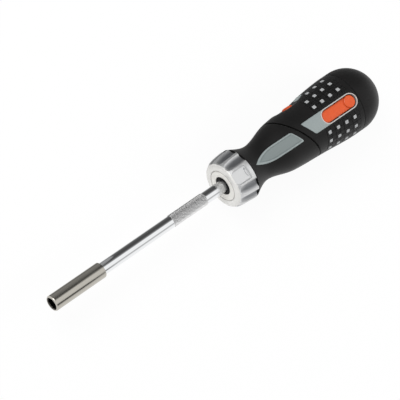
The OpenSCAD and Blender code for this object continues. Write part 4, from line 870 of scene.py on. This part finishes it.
rear_loops = skin_loops(lambda a, i: seam_at(a, SEAM_HALF, i), lambda a, i: HANDLE_END, SEAM_EDGE, REAR_EDGE, scooped,
                        columns=480, rows=200)
hole_x, hole_z = BUTTON_L / 2 + BUTTON_GAP, BUTTON_W / 2 + BUTTON_GAP
button_hole = loft("button_hole", [[(BUTTON_X + sx * hole_x, y, sz * hole_z) for sx, sz in
                                    ((1, 1), (-1, 1), (-1, -1), (1, -1))] for y in BUTTON_HOLE])
rear_mesh = cut(loft("rear_rubber", rear_loops, closed=True), *openings(panel_outline(-CUT_GAP)), button_hole)
grip = Finish("laced_rubber", None, Specular_IOR_Level=0.14, Sheen_Weight=0.1, Sheen_Roughness=0.45)
lace_x, lace_y, lace_z = grip.axes()
lace_turn = grip.maths("ABSOLUTE", grip.maths("ARCTAN2", lace_y, grip.maths("ABSOLUTE", lace_z)))
hoops = grip.wave((lace_x - LACE_FROM) / LACE_PITCH) < LACE_SHARE
lines = grip.wave(lace_turn * LACE_ROWS) < LACE_SHARE
laced = (lace_x > LACE_FROM - 0.2) * (lace_x < LACE_TO)
laced = laced * (lace_turn > LACE_TURN_FROM) * (lace_turn < LACE_TURN_TO)
grooves = grip.maths("MAXIMUM", hoops, lines) * laced
cloud = grip.noise(0.09, 3)
skin_color = grip.mix(cloud, (0.006, 0.006, 0.006), (0.011, 0.0105, 0.0105))
# Painted shade: the laced grooves are coloured darker than the rubber round them, besides being rougher and bumped
# in.
grip.set("Base Color", grip.mix(grooves, skin_color, (0.001, 0.001, 0.001)))
grip.set("Roughness", cloud * 0.12 + 0.42 + grooves * 0.4)
grip.bump(grip.noise(6.0, 3) * 0.07 - grooves, 0.3)
piece("rear_rubber", rear_mesh, "grip_rear", grip, "rubber_black", "rear_grip")

# Long panels: grey plastic plates in the rear grip's openings. Each drops down its walls and frames the release
# lever's window, with a thin lighter rim round it.
PANEL_STEPS = [(0.0, -1.4), (0.0, -0.25), (0.03, 0.0), (0.1, 0.1), (0.2, 0.12)]
PANEL_LIFT = 0.12
WINDOW_STEPS = [(-0.22, 0.12), (-0.1, 0.08), (0.0, -0.1), (0.0, -1.4)]
RIM_STEPS = [(0.02, -0.3), (0.02, 0.14), (-0.05, 0.18), (-0.48, 0.18), (-0.55, 0.13), (-0.55, -0.3)]


def on_spine(x):
    """The place nearest to x on the straight middle line of the window."""
    return max(WINDOW_AT + WINDOW_R, min(WINDOW_END - WINDOW_R, x))


def toward(outline, inner, share):
    """A ring between an outline and an inner one, matched by direction from the middle of the window."""
    out = []
    for x, y in inner:
        dx, hits = x - WINDOW_MID, []
        for (ax, ay), (bx, by) in zip(outline, outline[1:] + outline[:1]):
            ex, ey = bx - ax, by - ay
            det = dx * ey - y * ex
            if abs(det) >= 1e-12:
                t = ((ax - WINDOW_MID) * ey - ay * ex) / det
                s = ((ax - WINDOW_MID) * y - ay * dx) / det
                if t > 0 and -1e-9 <= s <= 1 + 1e-9:
                    hits.append(t)
        ox, oy = WINDOW_MID + dx * min(hits), y * min(hits)
        out.append((ox + (x - ox) * share, oy + (y - oy) * share))
    return out


def beyond(x, y):
    """Whether a place lies outside the sides and the front end of the window."""
    front = WINDOW_AT + WINDOW_R
    return (x < front and hypot(x - front, y) >= WINDOW_R) or abs(y) >= WINDOW_R


def panel_mesh(name, side):
    """The long panel: rings from its outline to the window, with one point in line with each of its front corners."""
    inner = capsule()
    for hand in (1, -1):
        heading = atan2(-hand * PANEL_EDGE, PANEL_FRONT + hand * PANEL_EDGE * SEAM_LEAN - WINDOW_MID)
        nearest = min(range(len(inner)), key=lambda k: abs(atan2(inner[k][1], inner[k][0] - WINDOW_MID) - heading))
        ray = ((WINDOW_MID + d * cos(heading), d * sin(heading)) for d in (k * 0.01 for k in range(2001)))
        inner[nearest] = next(place for place in ray if beyond(*place))
    rings = [(toward(panel_outline(inset), inner, 0.0), h) for inset, h in PANEL_STEPS]
    top = panel_outline(PANEL_STEPS[-1][0])
    rings += [(toward(top, inner, k / 10 * 0.98), PANEL_LIFT) for k in range(1, 10)]
    rings += [([(x - inset * (x - on_spine(x)) / WINDOW_R, y - inset * y / WINDOW_R) for x, y in inner], h)
              for inset, h in WINDOW_STEPS]
    return loft(name, [[on_handle(x, y, h, side) for x, y in points] for points, h in rings], closed=True)


def rim_mesh(name, side):
    """A thin raised band round the lever's window."""
    return loft(name, [[on_handle(x, y, h, side) for x, y in capsule(inset)] for inset, h in RIM_STEPS], closed=True)


pale = Finish("pale_rim", None, Roughness=0.4)
pale.set("Base Color", pale.mix(pale.noise(3.0, 3), (0.47, 0.45, 0.43), (0.56, 0.53, 0.51)))
for node, end, side in (("panel_top", "_top", 1), ("panel_bottom", "_bottom", -1)):
    piece("long_panel" + end, panel_mesh("long_panel" + end, side), "grip_rear", grey, "inlay_grey", node)
    piece("window_rim" + end, rim_mesh("window_rim" + end, side), "grip_rear", pale, "inlay_grey")

# Grip studs: short rows of square hard plastic studs that stand a hair proud of the rubber on both sides of each
# panel. The rows next to the thumb scoop lack their first stud.
STUD_HALF, STUD_CORNER = 1.12, 0.4
STUD_FIRST, STUD_PITCH, STUDS = WINDOW_AT + 0.8, 6.4, 4
STUD_ROWS = (29.2, 48.7, 68.5)
STUD_STEPS = [(0.0, -1.2), (0.0, -0.1), (0.05, 0.06), (0.16, 0.15), (0.34, 0.17), (0.9, 0.17)]


def rounded_square(half, corner, per_corner=5):
    """Points of a square with rounded corners."""
    points = []
    for k, (sx, sy) in enumerate(((1, 1), (-1, 1), (-1, -1), (1, -1))):
        for j in range(per_corner + 1):
            a = pi / 2 * (k + j / per_corner)
            points.append((sx * (half - corner) + corner * cos(a), sy * (half - corner) + corner * sin(a)))
    return points


def studs_mesh(name):
    """All the studs as one mesh."""
    squares = [(rounded_square(STUD_HALF - inset, max(0.1, STUD_CORNER - inset * 0.3)), h) for inset, h in STUD_STEPS]
    count = len(squares[0][0])
    verts, faces = [], []
    for side, row, hand, i in product((1, -1), STUD_ROWS, (1, -1), range(STUDS)):
        if hand == 1 and row == STUD_ROWS[-1] and i == 0:
            continue
        heading = pi / 2 * side - side * hand * radians(row)
        at = STUD_FIRST + i * STUD_PITCH
        start = len(verts)
        for square, h in squares:
            for dx, dt in square:
                r, angle = handle_r(at + dx) + h, heading + dt / handle_r(at)
                verts.append(Vector((at + dx, r * cos(angle), r * sin(angle))) * MM)
        faces += strips(start, count, len(squares))
        faces += [tuple(range(start, start + count)), tuple(range(len(verts) - count, len(verts)))]
    return tidy_mesh(name, verts, faces)


stud_grey = Finish("stud_plastic", None)
stud_grey.set("Base Color", stud_grey.mix(stud_grey.noise(2.5, 3), (0.34, 0.35, 0.355), (0.43, 0.44, 0.445)))
stud_grey.set("Roughness", stud_grey.noise(1.5, 3) * 0.15 + 0.38)
piece("square_studs", studs_mesh("square_studs"), "grip_rear", stud_grey, "stud_grey", "grip_studs")

# Release levers: long capsule-shaped levers of orange plastic, sunk in the panels' windows. Each rocks on a pin at
# its middle when its round nub is pressed, and its front tooth lets the magazine go.
LEVER_GAP = 0.42
LEVER_SINK = 1.5
LEVER_T = 1.4
LEVER_CROWN = 0.35
LEVER_STEPS = [(0.0, -LEVER_T - 0.3), (0.0, -0.45), (0.06, -0.2), (0.2, -0.06), (0.45, 0.0), (1.2, 0.0), (2.2, 0.0),
               (3.2, 0.0)]
LEVER_PIN_X, _, LEVER_PIN_Z = JOINT_AT["lever_top_press"]
LEVER_FRONT_Z = handle_r(WINDOW_AT) - LEVER_SINK
LEVER_SLOPE = (handle_r(WINDOW_END) - handle_r(WINDOW_AT)) / WINDOW_L
NUB_R = 3.7
NUB_X = WINDOW_END - 4.5
NUB_H = 0.9
NUB_PROFILE = [(0.0, -0.5), (NUB_R, -0.5), (NUB_R, NUB_H * 0.45), (NUB_R - 0.12, NUB_H * 0.75),
               (NUB_R - 0.4, NUB_H * 0.95), (NUB_R - 0.75, NUB_H), (NUB_R - 1.3, NUB_H * 0.93),
               (NUB_R * 0.35, NUB_H * 0.78), (0.0, NUB_H * 0.74)]
NUB_ROUND = 64
BOSS_X, BOSS_Z, BOSS_HALF, BOSS_ROUND = 1.5, 1.2, 3.6, 32
TOOTH_FROM, TOOTH_TO, TOOTH_HALF, TOOTH_Z = WINDOW_AT + LEVER_GAP + 0.9, WINDOW_AT + LEVER_GAP + 2.2, 2.0, 14.3
BOX_FACES = [(0, 1, 2, 3), (4, 7, 6, 5), (0, 4, 5, 1), (1, 5, 6, 2), (2, 6, 7, 3), (3, 7, 4, 0)]


def lever_top(x, y, h):
    """A point over the lever's crowned top face."""
    return (x, y, LEVER_FRONT_Z + (x - WINDOW_AT) * LEVER_SLOPE + LEVER_CROWN * (1 - (y / WINDOW_R) ** 2) + h)


def lever_mesh(name, side):
    """A lever of one mesh: its capsule, the nub on it, the boss for the pin below and the tooth at its front."""
    points = [lever_top(x, y, h) for inset, h in LEVER_STEPS for x, y in capsule(LEVER_GAP + inset)]
    count = len(points) // len(LEVER_STEPS)
    faces = strips(0, count, len(LEVER_STEPS))
    for first, (inset, h) in ((0, LEVER_STEPS[0]), (len(points) - count, LEVER_STEPS[-1])):
        at = len(points)
        points += [lever_top(on_spine(x), 0.0, h) for x, _ in capsule(LEVER_GAP + inset)]
        faces += [(first + k, first + (k + 1) % count, at + (k + 1) % count, at + k) for k in range(count)]
    faces += strips(len(points), NUB_ROUND, len(NUB_PROFILE))
    for r, h in NUB_PROFILE:
        for a in (2 * pi * k / NUB_ROUND for k in range(NUB_ROUND)):
            x, _, z = lever_top(NUB_X + r * cos(a), 0, h)
            points.append((x, r * sin(a), z))
    at = len(points)
    points += [(LEVER_PIN_X + BOSS_X * cos(a), y, LEVER_PIN_Z + BOSS_Z * sin(a)) for y in (BOSS_HALF, -BOSS_HALF)
               for a in (2 * pi * k / BOSS_ROUND for k in range(BOSS_ROUND))]
    faces += strips(at, BOSS_ROUND, 2)
    faces += [tuple(range(at, at + BOSS_ROUND)), tuple(range(at + BOSS_ROUND, len(points)))]
    at = len(points)
    points += [(x, y, z) for z in (TOOTH_Z, lever_top(WINDOW_AT + 1.5, 0, -LEVER_T - 0.1)[2]) for x, y in
               ((TOOTH_FROM, TOOTH_HALF), (TOOTH_TO, TOOTH_HALF), (TOOTH_TO, -TOOTH_HALF), (TOOTH_FROM, -TOOTH_HALF))]
    faces += [tuple(at + k for k in face) for face in BOX_FACES]
    return tidy_mesh(name, [Vector((x, y, z * side)) * MM for x, y, z in points], faces, 45)


orange = Finish("orange_plastic", None, Coat_Weight=0.12, Coat_Roughness=0.25)
haze = orange.noise(0.5, 3)
orange.set("Base Color", orange.mix(haze, (0.62, 0.070, 0.008), (0.71, 0.095, 0.012)))
orange.set("Roughness", haze * 0.12 + 0.30)
orange.bump(orange.noise(5.0, 2), 0.006)
for node, end, side in (("release_lever_top", "_top", 1), ("release_lever_bottom", "_bottom", -1)):
    piece("orange_lever" + end, lever_mesh("orange_lever" + end, side), node, orange, "button_orange", node)

# Lock button and its ramp: a small orange push button in the thumb scoop, and the grey guard behind it that slopes up
# to the grip so that a palm doesn't press the button. The guard's front is as black as the rubber round it.
BUTTON_CROWN, BUTTON_SOFT = 15.2, 1.3
GUARD_BARE, GUARD_SOFT = BUTTON_X + 7.6, 0.35


def softened(name, node, width, above, sharp=35):
    """A copy of a CAD node whose edges further out than a distance along Y are rounded."""
    form = bmesh.new()
    form.from_mesh(frame["nodes"][node].data)
    bmesh.ops.remove_doubles(form, verts=form.verts, dist=1e-6)
    bmesh.ops.dissolve_limit(form, angle_limit=radians(1), verts=form.verts, edges=form.edges)
    bmesh.ops.bisect_plane(form, geom=[*form.verts, *form.edges, *form.faces], plane_co=(0, above * MM, 0),
                           plane_no=(0, 1, 0))
    edges = [e for e in form.edges if len(e.link_faces) == 2 and e.calc_face_angle(0) > radians(sharp)
             and min(v.co.y for v in e.verts) > above * MM - 1e-7]
    bmesh.ops.bevel(form, geom=edges, offset=width * MM, segments=5, profile=0.5, affect="EDGES", clamp_overlap=True)
    mesh = bpy.data.meshes.new(name)
    form.to_mesh(mesh)
    form.free()
    mesh.shade_smooth()
    mesh.set_sharp_from_angle(angle=radians(50))
    return mesh


lock_mesh = softened("lock_push", "lock_button", BUTTON_SOFT, BUTTON_CROWN)
piece("lock_push", lock_mesh, "lock_button", orange, "button_orange", "lock_button")
guard = Finish("guard_plastic", None, Roughness=0.42, Specular_IOR_Level=0.3)
bare = guard.axes()[0] > GUARD_BARE
guard.set("Base Color", guard.mix(bare, (0.010, 0.010, 0.010), (0.30, 0.34, 0.338)))
guard.bump(guard.noise(4.0, 4), 0.01)
guard_mesh = softened("push_guard", "button_ramp", GUARD_SOFT, 0)
piece("push_guard", guard_mesh, "grip_rear", guard, "inlay_grey", "button_ramp")

# End cap: a domed cap with the same rubber skin. It closes the magazine and is pulled straight out with the spare
# bits.
CAP_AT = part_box("cap_grip")[0].x / MM
CAP_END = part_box("cap_grip")[1].x / MM
CAP_SKIN = 1.9
CAP_ROUND = 240


def dome(r, steps):
    """The outline of a half ball of a radius about the dome's middle, from its equator to its pole."""
    middle = CAP_END - HIP_R
    angles = [pi / 2 * k / steps for k in range(steps)]
    return [(middle + r * sin(a), r * cos(a)) for a in angles] + [(middle + r, ON_AXIS / 2)]


cap_edge = [(0.45, HIP_R - CAP_SKIN), (0, HIP_R - CAP_SKIN + 0.3), (0, HIP_R - 0.12), (0.04, HIP_R - 0.03),
            (0.12, HIP_R)]
cap_outline = dome(HIP_R - CAP_SKIN, 24)[::-1] + [(CAP_AT + x, r) for x, r in cap_edge] + dome(HIP_R, 48)
cap_mesh = loft("cap_skin", [ring(x, r, CAP_ROUND) for x, r in cap_outline])
piece("cap_skin", cap_mesh, "magazine", rubber, "rubber_black", "cap_grip")

# Inner parts: steel, bronze, die-cast and moulded pieces inside the handle, which show when the handle swivels or the
# magazine comes out. A finish's numbers are [scale, detail] of its colour's and its roughness's noise, and the range
# and the least of the roughness.
INNER = [("sintered_bronze", 1.0, (0.42, 0.27, 0.12), (0.58, 0.40, 0.19), (5.0, 3), (4.0, 3), 0.2, 0.35),
         ("cast_zinc", 1.0, (0.42, 0.42, 0.44), (0.55, 0.55, 0.57), (2.0, 4), (3.0, 4), 0.2, 0.42),
         ("moulded_core", 0.0, (0.022, 0.022, 0.024), (0.034, 0.034, 0.036), (0.5, 3), (1.2, 3), 0.15, 0.42),
         ("spring_wire", 1.0, (0.50, 0.50, 0.52), (0.64, 0.64, 0.66), (3.0, 3), (3.0, 3), 0.15, 0.2),
         ("bit_steel", 1.0, (0.24, 0.24, 0.26), (0.38, 0.38, 0.40), (1.0, 4), (2.0, 4), 0.2, 0.34)]
machined = Finish("machined_steel", None, Metallic=1.0)
marks = machined.noise(1.5, 4, (3, 1, 1))
machined.set("Base Color", machined.mix(marks, (0.34, 0.34, 0.36), (0.48, 0.48, 0.50)))
machined.set("Roughness", marks * 0.2 + 0.26)
inner_finish = {}
for name, metal, dark, light, tone, wear, spread, least in INNER:
    made = inner_finish[name] = Finish(name, None, Metallic=metal)
    made.set("Base Color", made.mix(made.noise(*tone), dark, light))
    made.set("Roughness", made.noise(*wear) * spread + least)
moulded = inner_finish["moulded_core"]
moulded.bump(moulded.noise(5.0, 3), 0.01)
BY_SLOT = {"magnet": machined, "hard_steel": machined, "bronze": inner_finish["sintered_bronze"],
           "housing_zinc": inner_finish["cast_zinc"], "core_black": moulded,
           "spring_steel": inner_finish["spring_wire"], "bit_steel": inner_finish["bit_steel"],
           "socket_nickel": nickel, "shaft_chrome": chrome, "plate_cream": cream, "bush_black": black_bush,
           "collar_silver": silver, "rubber_black": rubber, "inlay_grey": grey, "stud_grey": stud_grey,
           "button_orange": orange}
for subpart in frame["record"]["subparts"]:
    node = frame["nodes"][subpart["node"]]
    node.data.materials.clear()
    node.data.materials.append(BY_SLOT[subpart["material_slot"]].material)
